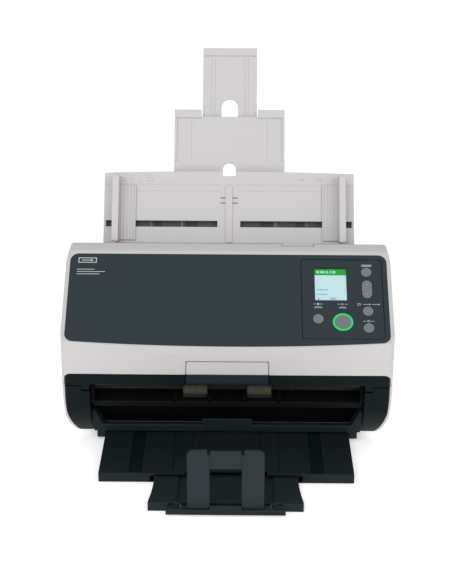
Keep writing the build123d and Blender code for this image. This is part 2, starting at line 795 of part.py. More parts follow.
# ------------------------------------------------------ base: driven rollers, one shaft and its tyres each
pulley_radius = 4.6
inner_pulley_x = (131, 135)
outer_pulley_x = (138, 142)
base_rollers = (
    ("pick", pick_centre, 12, both_sides(*pick_x), outer_pulley_x),
    ("feed", feed_centre, 10, both_sides(*feed_x), outer_pulley_x),
    ("eject", eject_centre, 7, both_sides(*eject_x), inner_pulley_x),
)
for roller_name, centre, radius, spans, pulley_x in base_rollers:
    with BuildPart() as roller_shaft:
        rod(centre, 3, -chassis_x - 4, pulley_x[1] + 1)
        rod(centre, pulley_radius, *pulley_x)
    save(roller_shaft, f"{roller_name}_shaft")
    with BuildPart() as roller_tyres:
        for low, high in spans:
            rod(centre, radius, low, high)
            rod(centre, 3, low, high, mode=Mode.SUBTRACT)
    save(roller_tyres, f"{roller_name}_rollers")

with BuildPart() as separation_roller:
    rod(separation_centre, 3, -chassis_x - 4, outer_pulley_x[1] + 1)
    rod(separation_centre, pulley_radius, *outer_pulley_x)
    rod(separation_centre, 10, -11, 11)
save(separation_roller, "separation_roller")

with BuildPart() as drive_motors:
    for centre in (main_motor_centre, pick_motor_centre):
        rod(centre, motor_radius, chassis_x - 26, chassis_x - 0.1)
save(drive_motors, "drive_motors")

motor_pulley_radius = 3.6
motor_pulleys = (
    ("main_motor_pulley", main_motor_centre, (inner_pulley_x, outer_pulley_x)),
    ("pick_motor_pulley", pick_motor_centre, (outer_pulley_x,)),
)
for pulley_name, centre, pulley_spans in motor_pulleys:
    with BuildPart() as motor_pulley:
        rod(centre, motor_shaft_radius, chassis_x + 0.1, outer_pulley_x[1] + 1)
        for low, high in pulley_spans:
            rod(centre, motor_pulley_radius, low, high)
    save(motor_pulley, pulley_name)


def belt(rounds, x_range):
    """Belt round a set of pulleys, each given as (centre, radius)."""
    for extra, mode in ((1.5, Mode.ADD), (play, Mode.SUBTRACT)):
        with BuildSketch(Plane.YZ.offset(x_range[0])) as loop:
            for centre, radius in rounds:
                with Locations(centre):
                    Circle(radius + extra)
            make_hull()
        extrude(loop.sketch, amount=x_range[1] - x_range[0], mode=mode)


eject_rounds = (
    (main_motor_centre, motor_pulley_radius),
    (eject_centre, pulley_radius),
)
feed_rounds = (
    (main_motor_centre, motor_pulley_radius),
    (feed_centre, pulley_radius),
)
pick_rounds = (
    (pick_motor_centre, motor_pulley_radius),
    (pick_centre, pulley_radius),
    (separation_centre, pulley_radius),
)
with BuildPart() as drive_belts:
    belt(eject_rounds, (inner_pulley_x[0] + 0.5, inner_pulley_x[1] - 0.5))
    belt(feed_rounds, (outer_pulley_x[0] + 0.5, outer_pulley_x[1] - 0.5))
    belt(pick_rounds, (outer_pulley_x[0] + 0.5, outer_pulley_x[1] - 0.5))
save(drive_belts, "drive_belts")

# ------------------------------------------------------ base: board, power inlet, USB socket
board_z = (17, 18.6)
with BuildPart() as main_board:
    block((-112, 60), (-40, 66), board_z)
    for x in (-108, 56):
        for y in (-36, 62):
            block((x - 3, x + 3), (y - 3, y + 3), (tray_top + 1.3, board_z[0]))
save(main_board, "main_board")

port_face = 84.4
with BuildPart() as rear_ports:
    block(inlet_x, (64, port_face), (board_z[1], port_z[1]))
    with Locations(((inlet_x[0] + inlet_x[1]) / 2, port_face, (board_z[1] + port_z[1]) / 2)):
        Cylinder(3.6, 24, rotation=(90, 0, 0), mode=Mode.SUBTRACT)
        Cylinder(1, 26, rotation=(90, 0, 0))
    block((-200, 200), (port_face, 110), (0, 100), mode=Mode.SUBTRACT)
    block(usb_x, (68, port_face), (board_z[1], 29.6))
    block((usb_x[0] + 1, usb_x[1] - 1), (70, 90), (board_z[1] + 1, 28.6), mode=Mode.SUBTRACT)
    block((usb_x[0] + 3.4, usb_x[1] - 3.4), (69, 83), (board_z[1] + 3.6, 26))
save(rear_ports, "rear_ports")

with BuildPart() as hinge_pins:
    for low, high in both_sides(knuckle_x[0] + 0.2, 137):
        rod(hinge_axis, hinge_pin_radius, low, high)
save(hinge_pins, "hinge_pins")

# ------------------------------------------------------ stacker: fixed base, two trays, end plate, stopper
desk_gap = 0.4
deck_front = -71
deck_rear = -57.2
deck_half = 115.8
deck_low = 10.6
deck_high = 17
ear_x = (112.6, 119.8)
with BuildPart() as stacker_base:
    deck_outline = (
        (deck_front, deck_low),
        (deck_front, deck_high - 0.6),
        (deck_front + 0.6, deck_high),
        (deck_front + 2, deck_high),
        (deck_front + 2, 13.2),
        (deck_rear, 13.2),
        (deck_rear, deck_low + 1.1),
        (-59, deck_low),
    )
    slab(deck_outline, -deck_half, deck_half)
    block((-22.6, 22.6), (deck_front - 0.4, deck_front + 2), (deck_low + 1.1, 23.2))
    for sign in (-1, 1):
        with BuildSketch(Plane.XZ.offset(-deck_rear)) as deck_cheek:
            with BuildLine():
                Polyline(
                    (sign * (deck_half - 1), deck_low + 1.1),
                    (sign * (deck_half - 1), deck_high),
                    (sign * (mouth_half - 2.6), 30.5),
                    (sign * (mouth_half - 0.4), 30.5),
                    (sign * (mouth_half - 0.4), deck_low + 1.1),
                    close=True,
                )
            make_face()
        extrude(amount=12.6)
    for low, high in both_sides(*ear_x):
        ear_outline = (
            (deck_front, deck_high - 1),
            (deck_front, 4.6),
            (-69.6, 3.2),
            (-63, 3.2),
            (-59.5, 11.7),
            (-59.5, 16),
        )
        slab(ear_outline, low, high)
save(stacker_base, "stacker_base")

tray_top_z = 9
tray_skin = 2
lip_opening = 67
notch_half = 36
channel_x = (74, 86)
with BuildPart() as stacker_tray:
    block((-tray_half, tray_half), (tray_front, tray_rear), (desk_gap, tray_top_z))
    under_z = (0, tray_top_z - tray_skin)
    block((-tray_half + 2.5, tray_half - 2.5), (tray_front + 3, tray_rear + 1), under_z, mode=Mode.SUBTRACT)
    block((-lip_opening, lip_opening), (tray_front - 1, tray_front + 4), under_z, mode=Mode.SUBTRACT)
    block((-notch_half, notch_half), (tray_front - 1, tray_front + 5), (0, 12), mode=Mode.SUBTRACT)
    for low, high in both_sides(*channel_x):
        block((low, high), (tray_front + 2, tray_rear + 1), (tray_top_z - 1.2, 12), mode=Mode.SUBTRACT)
    for low, high in both_sides(46.4, 47.4) + both_sides(29.9, 30.9):
        block((low, high), (tray_front + 2, tray_rear + 1), (tray_top_z - 0.8, 12), mode=Mode.SUBTRACT)
save(stacker_tray, "stacker_tray")

slide_z = (1.2, 6.2)
recess_half = 42
recess_z = (2.4, 3.7)
lip_half = extension_half + 3
lip_top = 7.7
with BuildPart() as stacker_extension:
    with BuildSketch(Plane.XY.offset(slide_z[0])) as extension_plan:
        with BuildLine():
            flare_edge = ((extension_half, -150), (extension_half + 0.6, -170), (lip_half, -190))
            Line((extension_half, extension_rear), flare_edge[0])
            ThreePointArc(*flare_edge)
            Line(flare_edge[2], (lip_half, extension_front))
            Line((lip_half, extension_front), (-lip_half, extension_front))
            Line((-lip_half, extension_front), (-lip_half, -190))
            ThreePointArc(*[(-x, y) for x, y in reversed(flare_edge)])
            Line((-extension_half, -150), (-extension_half, extension_rear))
            Line((-extension_half, extension_rear), (extension_half, extension_rear))
        make_face()
    extrude(amount=slide_z[1] - slide_z[0])
    block((-recess_half, recess_half), (-200, -100), (recess_z[1], 10), mode=Mode.SUBTRACT)
    rail_inner = recess_half + 1.6
    under_y = (extension_front - 1, extension_rear + 1)
    block((-rail_inner, rail_inner), under_y, (0, recess_z[0]), mode=Mode.SUBTRACT)
    for low, high in both_sides(rail_inner, extension_half - 2):
        block((low, high), (extension_front + 2.5, extension_rear + 1), (0, 4.6), mode=Mode.SUBTRACT)
    block((-lip_half, lip_half), (extension_front, extension_front + 3), (0.3, lip_top))
    for low, high in both_sides(43.6, 48.6):
        block((low, high), (extension_front - 1, extension_front + 2), (4.6, 10), mode=Mode.SUBTRACT)
    block((-38.5, 38.5), (extension_front - 1, extension_front + 8), (0, 10), mode=Mode.SUBTRACT)
save(stacker_extension, "stacker_extension")

pivot_radius = 1.2
ear_half = (34, 37)
end_front = -205.2
end_back = -203
end_top = 6
with BuildPart() as stacker_end:
    block((-50.5, 50.5), (end_front, end_back), (1.4, end_top))
    block((-13, 13), (end_front, end_back), (end_top, 9.4))
    block((-38.4, 38.4), (end_back, -152), (0.8, 2.1))
    for low, high in both_sides(*ear_half):
        block((low, high), (stopper_axis[0] - 2.2, stopper_axis[0] + 2.2), (2.1, 6.3))
        rod(stopper_axis, pivot_radius + running, low - 1, high + 1, mode=Mode.SUBTRACT)
save(stacker_end, "stacker_end")

column_x_inner = 13.5
bridge_z = (43.2, 59.6)
with BuildPart() as stopper:
    with BuildSketch(Plane.XZ.offset(-stopper_axis[0])) as stopper_face:
        with Locations((0, stopper_axis[1] + stopper_height / 2)):
            Rectangle(2 * stopper_half, stopper_height)
        fillet(stopper_face.vertices().group_by(Axis.Z)[-1], 5)
    extrude(amount=stopper_thickness)
    # window between the two columns, with the bridge left above it
    block((-column_x_inner, column_x_inner), (-210, -190), (0, bridge_z[0]), mode=Mode.SUBTRACT)
    block((-column_x_inner, column_x_inner), (-210, -201.8), (0, 70), mode=Mode.SUBTRACT)
    block((-column_x_inner, column_x_inner), (-210, -190), (bridge_z[1], 70), mode=Mode.SUBTRACT)
    for low, high in both_sides(column_x_inner - 0.6, column_x_inner + 2):
        block((low, high), (-210, -190), (bridge_z[1] - 3.6, 70), mode=Mode.SUBTRACT)
    for low, high in both_sides(column_x_inner, stopper_half):
        rod(stopper_axis, 1.7, low, high)
    for low, high in both_sides(stopper_half, ear_half[1] + 0.4):
        rod(stopper_axis, pivot_radius, low, high)
save(stopper, "stopper")

# ------------------------------------------------------ paper chute with its two extensions
skin = 2.5
rack_z = (-5.3, -2.8)
layer_one = (-8.4, -6)
layer_two = (-11.4, -9)
back_z = (-14, -11.8)
slot_along = (16.3, 22.5)
slot_x = (11, 118.2)
rail_x = (54, 57)
inner_rail_x = (26.9, 29.5)
pinion_at = (0, 19.4)
finger_half = 6.25

with BuildPart() as chute_main:
    with BuildSketch(chute_plane) as main_face:
        with BuildLine():
            Line((-main_half, main_top - 2), (-main_half, 0.5))
            Line((-main_half, 0.5), (main_half, 0.5))
            Line((main_half, 0.5), (main_half, main_top - 2))
            ThreePointArc((main_half, main_top - 2), (0, main_top), (-main_half, main_top - 2))
        make_face()
        fillet(main_face.vertices().group_by(Axis.Z)[-1], 1)
        with Locations((0, main_top + 2.4)):
            RectangleRounded(2 * finger_half, 14, 1, mode=Mode.SUBTRACT)
    extrude(amount=-skin)
    # raised centre ridge, header lines and the two short slots beside the ridge
    local_block(chute_plane, (-3.2, 3.2), (1, 57), (0, 1.2))
    for low, high in both_sides(7.5, 118.5):
        local_block(chute_plane, (low, high), (57.6, 58.6), (0, 0.2))
    for low, high in both_sides(9, 92):
        local_block(chute_plane, (low, high), (51.8, 52.3), (0, 0.15))
    for low_along, high_along in ((39.7, 40.6), (44.7, 45.6)):
        local_block(chute_plane, (3.3, 8.2), (low_along, high_along), (-skin - 0.1, 1), mode=Mode.SUBTRACT)
    # side walls, foot wall and the rails of the extensions
    for low, high in both_sides(main_half - 2.4, main_half):
        local_block(chute_plane, (low, high), (0.5, main_top - 5), (back_z[0], -skin))
    for low, high in both_sides(*rail_x):
        local_block(chute_plane, (low, high), (0.5, main_top - 4), (back_z[0], -skin))
    local_block(chute_plane, (-rail_x[1], rail_x[1]), (0.5, main_top - 4), back_z)
    for low, high in both_sides(rail_x[1], main_half):
        local_block(chute_plane, (low, high), (0.5, 2.5), (back_z[0], -skin))
        local_block(chute_plane, (low, high), (0.5, main_top - 5.6), back_z)
        local_block(chute_plane, (low, high), (main_top - 7.1, main_top - 5.6), (back_z[1], -skin))
    local_block(chute_plane, (-100, 100), (9, 30), (rack_z[0] - 0.3, -skin - 0.001), mode=Mode.SUBTRACT)
    for low, high in both_sides(*slot_x):
        local_block(chute_plane, (low, high), slot_along, (-skin - 0.1, 2), mode=Mode.SUBTRACT)
    # pivot of the rack pinion
    with BuildSketch(chute_plane.offset(rack_z[0] - 0.2)) as pivot_round:
        with Locations(pinion_at):
            Circle(1.5)
    extrude(amount=skin + 0.8)
    # lugs that drop into the rear cover
    for low, high in both_sides(98, 108):
        local_block(chute_plane, (low, high), (-15, 1), (-6.5, -3.2))
save(chute_main, "chute_main")

with BuildPart() as rack_pinion:
    with BuildSketch(chute_plane.offset(rack_z[0])) as pinion_face:
        with Locations(pinion_at):
            Circle(4.7)
            Circle(1.5 + running, mode=Mode.SUBTRACT)
    extrude(amount=rack_z[1] - rack_z[0])
save(rack_pinion, "rack_pinion")

blade_plane = Plane(origin=(0, *entry), x_dir=(0, up_y, up_z), z_dir=(1, 0, 0))
blade_x = (105.2, 107.8)
blade_outer = 111.2
foot_inner = 89.4
rack_alongs = {"left": (24.6, 28), "right": (10.8, 14.2)}
for side_name, sign in (("left", -1), ("right", 1)):
    with BuildPart() as side_guide:
        with BuildSketch(blade_plane.offset(sign * blade_x[0])) as blade:
            with BuildLine():
                Polyline((1.5, 0.3), (-1, 14), (63.6, 14), (66.5, 0.3), close=True)
            make_face()
        extrude(amount=sign * (blade_x[1] - blade_x[0]))
        local_block(chute_plane, sorted((sign * blade_x[1], sign * blade_outer)), (4, 66), (0.3, 3))
        local_block(chute_plane, sorted((sign * blade_x[1], sign * blade_outer)), (-0.5, 63.4), (12, 14))
        local_block(chute_plane, sorted((sign * foot_inner, sign * blade_x[0])), (3, 57), (0.3, 2.2))
        for rib in range(5):
            rib_x = sorted((sign * (foot_inner + 1.5 + 3 * rib), sign * (foot_inner + 2.3 + 3 * rib)))
            local_block(chute_plane, rib_x, (4, 56), (2.2, 2.8))
        neck_x = sorted((sign * 96, sign * 110))
        rack_low, rack_high = rack_alongs[side_name]
        local_block(chute_plane, neck_x, (slot_along[0] + 0.5, slot_along[1] - 0.5), (rack_z[0], 0.3))
        neck_along = (min(rack_low, slot_along[0] + 0.5), max(rack_high, slot_along[1] - 0.5))
        local_block(chute_plane, neck_x, neck_along, rack_z)
        local_block(chute_plane, sorted((sign * 110, -sign * 8)), (rack_low, rack_high), rack_z)
    save(side_guide, f"side_guide_{side_name}")

first_low = 52
first_rim = 2.4
first_lip_x = 27.5
with BuildPart() as chute_extension_1:
    local_block(chute_plane, (-upper_half, upper_half), (first_low, upper_top - 4.4), layer_one)
    lip_z = (layer_one[0], layer_one[1] + 2)
    for low, high in both_sides(first_lip_x, upper_half):
        local_block(chute_plane, (low, high), (upper_top - 6, upper_top + 2), lip_z)
    rim_z = (layer_one[0], layer_one[1] + 1.2)
    for low, high in both_sides(upper_half - first_rim, upper_half):
        local_block(chute_plane, (low, high), (main_top + 12, upper_top - 5), rim_z)
    for low, high in both_sides(*inner_rail_x):
        local_block(chute_plane, (low, high), (first_low, upper_top - 6), (layer_two[0], layer_one[0]))
    with BuildSketch(chute_plane) as first_hole:
        with Locations((0, main_top - 1)):
            RectangleRounded(2 * finger_half, 23, finger_half - 0.1)
    extrude(amount=-20, mode=Mode.SUBTRACT)
save(chute_extension_1, "chute_extension_1")

second_low = 104
second_top = tip_top + 3
arch_half = 8.1
with BuildPart() as chute_extension_2:
    local_block(chute_plane, (-tip_half, tip_half), (second_low, second_top), layer_two)
    tip_lip_z = (layer_two[1], layer_two[1] + 2)
    local_block(chute_plane, (-tip_half, tip_half), (second_top - 7.6, second_top), tip_lip_z)
    with BuildSketch(chute_plane) as second_hole:
        with Locations((0, 136)):
            RectangleRounded(2 * arch_half, 23.6, arch_half - 0.1)
    extrude(amount=-20, mode=Mode.SUBTRACT)
save(chute_extension_2, "chute_extension_2")
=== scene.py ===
"""Looks of a sheet fed document scanner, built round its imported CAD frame.

Lengths are in metres, in the frame's own axes: +X to the right, +Y to the back and +Z up.
"""

import json
import random
from math import cos, pi, radians, sin, tau

import bmesh
import bpy
from mathutils import Matrix, Vector


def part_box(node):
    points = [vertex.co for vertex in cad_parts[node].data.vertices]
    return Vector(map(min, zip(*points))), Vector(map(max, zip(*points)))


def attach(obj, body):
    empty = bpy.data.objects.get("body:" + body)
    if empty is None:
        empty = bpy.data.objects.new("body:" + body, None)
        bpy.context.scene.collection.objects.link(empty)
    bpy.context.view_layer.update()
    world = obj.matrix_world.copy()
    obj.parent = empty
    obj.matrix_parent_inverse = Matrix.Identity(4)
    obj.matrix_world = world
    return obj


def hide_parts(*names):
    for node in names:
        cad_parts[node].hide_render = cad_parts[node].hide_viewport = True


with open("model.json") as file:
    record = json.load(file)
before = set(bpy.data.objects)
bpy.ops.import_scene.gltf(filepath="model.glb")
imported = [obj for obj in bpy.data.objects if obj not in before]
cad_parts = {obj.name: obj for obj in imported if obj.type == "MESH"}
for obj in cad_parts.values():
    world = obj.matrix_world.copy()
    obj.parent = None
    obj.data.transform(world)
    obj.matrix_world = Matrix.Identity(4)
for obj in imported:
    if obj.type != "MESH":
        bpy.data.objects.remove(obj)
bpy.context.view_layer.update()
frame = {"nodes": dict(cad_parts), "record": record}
nodes = frame["nodes"]
mm = 0.001

panel_tilt = radians(34.5)
panel_foot = (-83.5 * mm, 101.2 * mm)
chute_tilt = radians(57)
chute_foot = (40 * mm, 154.2 * mm)


# ------------------------------------------------------------------ planes and places
def tilted(foot, tilt):
    """Axes of a sloping face: X to the right, Y up the slope and Z out of it."""
    return Matrix(
        (
            (1, 0, 0, 0),
            (0, cos(tilt), -sin(tilt), foot[0]),
            (0, sin(tilt), cos(tilt), foot[1]),
            (0, 0, 0, 1),
        )
    )


def local_box(node, place):
    """Lowest and highest corner of a CAD node, in a sloping face's own axes."""
    back = place.inverted()
    points = [back @ v.co for v in nodes[node].data.vertices]
    return tuple(Vector(f(p[i] for p in points) for i in range(3)) for f in (min, max))


def middle(pair):
    """Centre of a box given as two corners."""
    return (pair[0] + pair[1]) / 2


panel = tilted(panel_foot, panel_tilt)
chute = tilted(chute_foot, chute_tilt)
level = Matrix.Identity(4)


# ------------------------------------------------------------------ materials
class Graph:
    """A node material under construction."""

    def __init__(self, name):
        self.material = bpy.data.materials.new(name)
        self.material.use_nodes = True
        self.tree = self.material.node_tree
        self.shader = self.tree.nodes["Principled BSDF"]
        self.place = self.add("ShaderNodeTexCoord").outputs["Object"]

    def put(self, socket, value):
        if isinstance(value, bpy.types.NodeSocket):
            self.tree.links.new(value, socket)
        else:
            socket.default_value = value

    def add(self, kind, inputs=None, **settings):
        node = self.tree.nodes.new(kind)
        for key, value in settings.items():
            setattr(node, key, value)
        for key, value in (inputs or {}).items():
            self.put(node.inputs[key], value)
        return node

    def noise(self, size, detail=2.0, stretch=None):
        """Noise whose features are about the given size across."""
        place = self.place
        if stretch:
            place = self.add("ShaderNodeMapping", {"Vector": place, "Scale": stretch}).outputs["Vector"]
        inputs = {"Vector": place, "Scale": 1 / size, "Detail": detail}
        return self.add("ShaderNodeTexNoise", inputs).outputs["Fac"]

    def cells(self, size):
        inputs = {"Vector": self.place, "Scale": 1 / size}
        return self.add("ShaderNodeTexVoronoi", inputs).outputs["Distance"]

    def spread(self, value, low, high, to_low=0.0, to_high=1.0):
        keys = ("Value", "From Min", "From Max", "To Min", "To Max")
        inputs = dict(zip(keys, (value, low, high, to_low, to_high)))
        return self.add("ShaderNodeMapRange", inputs).outputs["Result"]

    def mix(self, share, first, second):
        node = self.add("ShaderNodeMix", data_type="RGBA", blend_type="MIX")
        for key, value in ((0, share), (6, first), (7, second)):
            self.put(node.inputs[key], value)
        return node.outputs[2]

    def maths(self, operation, first, second):
        return self.add("ShaderNodeMath", {0: first, 1: second}, operation=operation).outputs[0]

    def edges(self, radius):
        """Rounded normal near edges, and a mask that is 1 on them."""
        rounded = self.add("ShaderNodeBevel", {"Radius": radius}, samples=6).outputs["Normal"]
        flat = self.add("ShaderNodeNewGeometry").outputs["Normal"]
        along = self.add("ShaderNodeVectorMath", {0: rounded, 1: flat}, operation="DOT_PRODUCT")
        return rounded, self.spread(along.outputs["Value"], 0.99, 0.86)

    def bump(self, height, depth, normal=None):
        inputs = {"Height": height, "Distance": depth, "Strength": 1.0}
        if normal:
            inputs["Normal"] = normal
        return self.add("ShaderNodeBump", inputs).outputs["Normal"]

    def finish(self, colour, roughness, normal, **uniform):
        for key, value in (("Base Color", colour), ("Roughness", roughness), ("Normal", normal)):
            self.put(self.shader.inputs[key], value)
        for key, value in uniform.items():
            self.shader.inputs[key.replace("_", " ")].default_value = value
        return self.material


def tone(colour, factor):
    """A colour made lighter or darker, with alpha."""
    return (*(min(1.0, c * factor) for c in colour), 1.0)


def moulded(name, colour, rough, grain, depth, edge_wear_and_highlight, mottle=0.03, radius=0.5 * mm, **uniform):
    """Spark-eroded moulded plastic: fine grain, slight mottling, and polished, paler edges, which are real
    wear and, where the edge wear is set high, painted highlight as well.
    """
    g = Graph(name)
    rounded, edge = g.edges(radius)
    cloud = g.noise(45 * mm, 3)
    speck = g.noise(grain, 2)
    shade = g.mix(cloud, tone(colour, 1 - mottle), tone(colour, 1 + mottle))
    speckled = g.mix(g.spread(speck, 0.3, 0.7, 0, 0.35), shade, tone(colour, 1 - 2 * mottle))
    handled = g.noise(9 * mm, 4)
    # edge mask: rubbed edges, and painted highlight along them where the edge wear is high
    worn_and_highlit = g.maths("MULTIPLY", edge, g.spread(handled, 0.3, 0.65, 0.35, 1))
    final = g.mix(g.maths("MULTIPLY", worn_and_highlit, edge_wear_and_highlight), speckled, tone(colour, 1.0 + 3 * edge_wear_and_highlight))
    roughness = g.spread(g.maths("ADD", g.noise(22 * mm, 3), speck), 0.7, 1.3, *rough)
    polished = g.maths("SUBTRACT", roughness, g.maths("MULTIPLY", worn_and_highlit, 0.08))
    return g.finish(final, polished, g.bump(speck, depth, rounded), **uniform)


def rubbery(name, colour, rough, grain, depth, dust, pores=False, **uniform):
    """Rubber or foam with pores and a dusting of paper fibre."""
    g = Graph(name)
    rounded = g.edges(0.4 * mm)[0]
    pore = g.cells(grain) if pores else g.noise(grain, 3)
    base = g.mix(g.noise(6 * mm, 4), tone(colour, 0.8), tone(colour, 1.25))
    pitted = g.mix(g.spread(pore, 0.15, 0.5, 0.5, 0), base, tone(colour, 0.45))
    fibre = g.spread(g.noise(1.5 * mm, 5), 0.5, 0.75)
    dusty = g.mix(g.maths("MULTIPLY", fibre, dust), pitted, (0.55, 0.54, 0.5, 1))
    roughness = g.spread(pore, 0, 1, *rough)
    return g.finish(dusty, roughness, g.bump(pore, depth, rounded), **uniform)


def metal(name, colour, rough, stretch, depth, **uniform):
    """Ground or rolled steel with fine drawn lines and faint stains."""
    g = Graph(name)
    rounded, edge = g.edges(0.3 * mm)
    lines = g.noise(0.5 * mm, 3, stretch)
    stain = g.noise(16 * mm, 4)
    base = g.mix(stain, tone(colour, 0.84), tone(colour, 1.08))
    lined = g.mix(g.spread(lines, 0.35, 0.65, 0, 0.3), base, tone(colour, 0.7))
    bright = g.mix(g.maths("MULTIPLY", edge, 0.5), lined, tone(colour, 1.3))
    roughness = g.spread(g.maths("ADD", lines, stain), 0.7, 1.3, *rough)
    return g.finish(bright, roughness, g.bump(lines, depth, rounded), Metallic=1.0, **uniform)


def clear(name, tint, rough, **uniform):
    """Clear sheet with faint wiping marks and a few specks of dust."""
    g = Graph(name)
    rounded = g.edges(0.2 * mm)[0]
    smear = g.noise(7 * mm, 4, (1, 5, 5))
    dust = g.spread(g.noise(0.7 * mm, 4), 0.66, 0.74)
    shade = g.mix(g.maths("MULTIPLY", dust, 0.3), tone(tint, 1), (0.8, 0.8, 0.78, 1))
    roughness = g.maths("ADD", g.spread(smear, 0.3, 0.8, *rough), g.maths("MULTIPLY", dust, 0.3))
    return g.finish(shade, roughness, g.bump(smear, 0.002 * mm, rounded), **uniform)


def printed(name, colour, strength=0.0, rough=(0.4, 0.55)):
    """Screen-printed ink, or a lit display colour when it has some strength."""
    g = Graph(name)
    grain = g.noise(0.25 * mm, 2)
    shade = g.mix(grain, tone(colour, 0.9), tone(colour, 1.06))
    if strength:
        g.put(g.shader.inputs["Emission Color"], shade)
        g.shader.inputs["Emission Strength"].default_value = strength
    return g.finish(shade, g.spread(grain, 0.2, 0.8, *rough), g.bump(grain, 0.004 * mm))


def circuit(name):
    """Green solder mask over copper traces."""
    g = Graph(name)
    rounded = g.edges(0.2 * mm)[0]
    inputs = {"Vector": g.place, "Scale": 1 / (3.2 * mm), "Randomness": 0.25}
    lanes = g.add("ShaderNodeTexVoronoi", inputs, feature="DISTANCE_TO_EDGE", distance="MANHATTAN")
    trace = g.spread(lanes.outputs["Distance"], 0.08, 0.12)
    mask = g.mix(g.noise(12 * mm, 3), (0.010, 0.10, 0.045, 1), (0.014, 0.14, 0.06, 1))
    shade = g.mix(trace, (0.03, 0.23, 0.09, 1), mask)
    roughness = g.spread(trace, 0, 1, 0.3, 0.42)
    return g.finish(shade, roughness, g.bump(trace, 0.02 * mm, rounded), Coat_Weight=0.3)


def toothed(name, colour):
    """Moulded belt rubber with a faint cord pattern."""
    g = Graph(name)
    rounded = g.edges(0.25 * mm)[0]
    inputs = {"Vector": g.place, "Scale": 1 / (2.4 * mm), "Distortion": 0.2}
    cord = g.add("ShaderNodeTexWave", inputs, bands_direction="X").outputs["Fac"]
    shade = g.mix(cord, tone(colour, 0.7), tone(colour, 1.5))
    return g.finish(shade, g.spread(g.noise(2 * mm, 3), 0.3, 0.7, 0.6, 0.8), g.bump(cord, 0.05 * mm, rounded))


warm_grey = (0.613, 0.6, 0.601)
cool_dark = (0.004, 0.0092, 0.0108)
slate = (0.0246, 0.0395, 0.049)
finish = {
    "light_plastic": moulded(
        "light_plastic", warm_grey, (0.44, 0.58), 0.55 * mm, 0.022 * mm, 0.05, 0.012,
    ),
    "dark_plastic": moulded(
        "dark_plastic", cool_dark, (0.42, 0.56), 0.6 * mm, 0.03 * mm, 0.5, 0.08, Specular_IOR_Level=0.09,
    ),
    "panel_plastic": moulded(
        "panel_plastic", slate, (0.36, 0.46), 0.35 * mm, 0.012 * mm, 0.45, 0.05, Specular_IOR_Level=0.25,
    ),
    "button_plastic": moulded(
        "button_plastic", (0.176, 0.2, 0.212), (0.4, 0.5), 0.3 * mm, 0.012 * mm, 0.15, 0.03,
    ),
    "ring_light": moulded(
        "ring_light", (0.02, 0.42, 0.12), (0.25, 0.35), 0.4 * mm, 0.01 * mm, 0.2, 0.06,
        Emission_Color=(0.015, 0.5, 0.12, 1), Emission_Strength=0.55, Coat_Weight=0.2,
    ),
    "unit_plastic": moulded(
        "unit_plastic", (0.012, 0.012, 0.013), (0.4, 0.55), 0.5 * mm, 0.03 * mm, 0.5, 0.1,
    ),
    "gear_plastic": moulded(
        "gear_plastic", (0.62, 0.6, 0.53), (0.3, 0.4), 0.5 * mm, 0.008 * mm, 0.1, 0.03,
    ),
    "motor": moulded(
        "motor", (0.11, 0.11, 0.115), (0.32, 0.45), 0.8 * mm, 0.02 * mm, 0.5, 0.08, Metallic=0.7,
    ),
    "port": moulded("port", (0.01, 0.01, 0.01), (0.25, 0.35), 0.4 * mm, 0.01 * mm, 0.5, 0.1),
    "lens": clear("lens", (0.93, 0.97, 0.98), (0.02, 0.07), Transmission_Weight=1.0, IOR=1.3),
    "glass": clear("glass", (0.82, 0.92, 0.9), (0.01, 0.05), Transmission_Weight=1.0, IOR=1.5),
    "sheet_steel": metal("sheet_steel", (0.2, 0.21, 0.22), (0.32, 0.48), (1, 0.15, 0.15), 0.01 * mm),
    "steel": metal("steel", (0.56, 0.56, 0.57), (0.2, 0.34), (8, 1, 1), 0.006 * mm),
    "rubber": rubbery("rubber", (0.028, 0.028, 0.031), (0.62, 0.85), 0.35 * mm, 0.03 * mm, 0.12),
    "khaki_rubber": rubbery(
        "khaki_rubber", (0.07, 0.08, 0.052), (0.75, 0.95), 0.5 * mm, 0.09 * mm, 0.1, pores=True,
    ),
    "brush": rubbery("brush", (0.022, 0.023, 0.019), (0.6, 0.9), 0.25 * mm, 0.03 * mm, 0.15),
    "board": circuit("board"),
    "belt": toothed("belt", (0.02, 0.02, 0.021)),
}
white_ink = printed("white_ink", (0.6, 0.62, 0.63))
screen_paper = printed("screen_paper", (0.56, 0.74, 0.75), 0.47)
screen_green = printed("screen_green", (0.0, 0.33, 0.012), 0.5)
screen_pale = printed("screen_pale", (0.30, 0.7, 0.62), 0.4)
screen_blue = printed("screen_blue", (0.2, 0.42, 0.6), 0.4)
# dark of the painted shadow along the top of the screen
screen_top_shadow = printed("screen_top_shadow", (0.008, 0.01, 0.012))



def paint(node, material):
    """Give every slot of a CAD node one material."""
    for slot in nodes[node].material_slots:
        slot.material = material


for entry in frame["record"]["subparts"]:
    paint(entry["node"], finish[entry["material_slot"]])

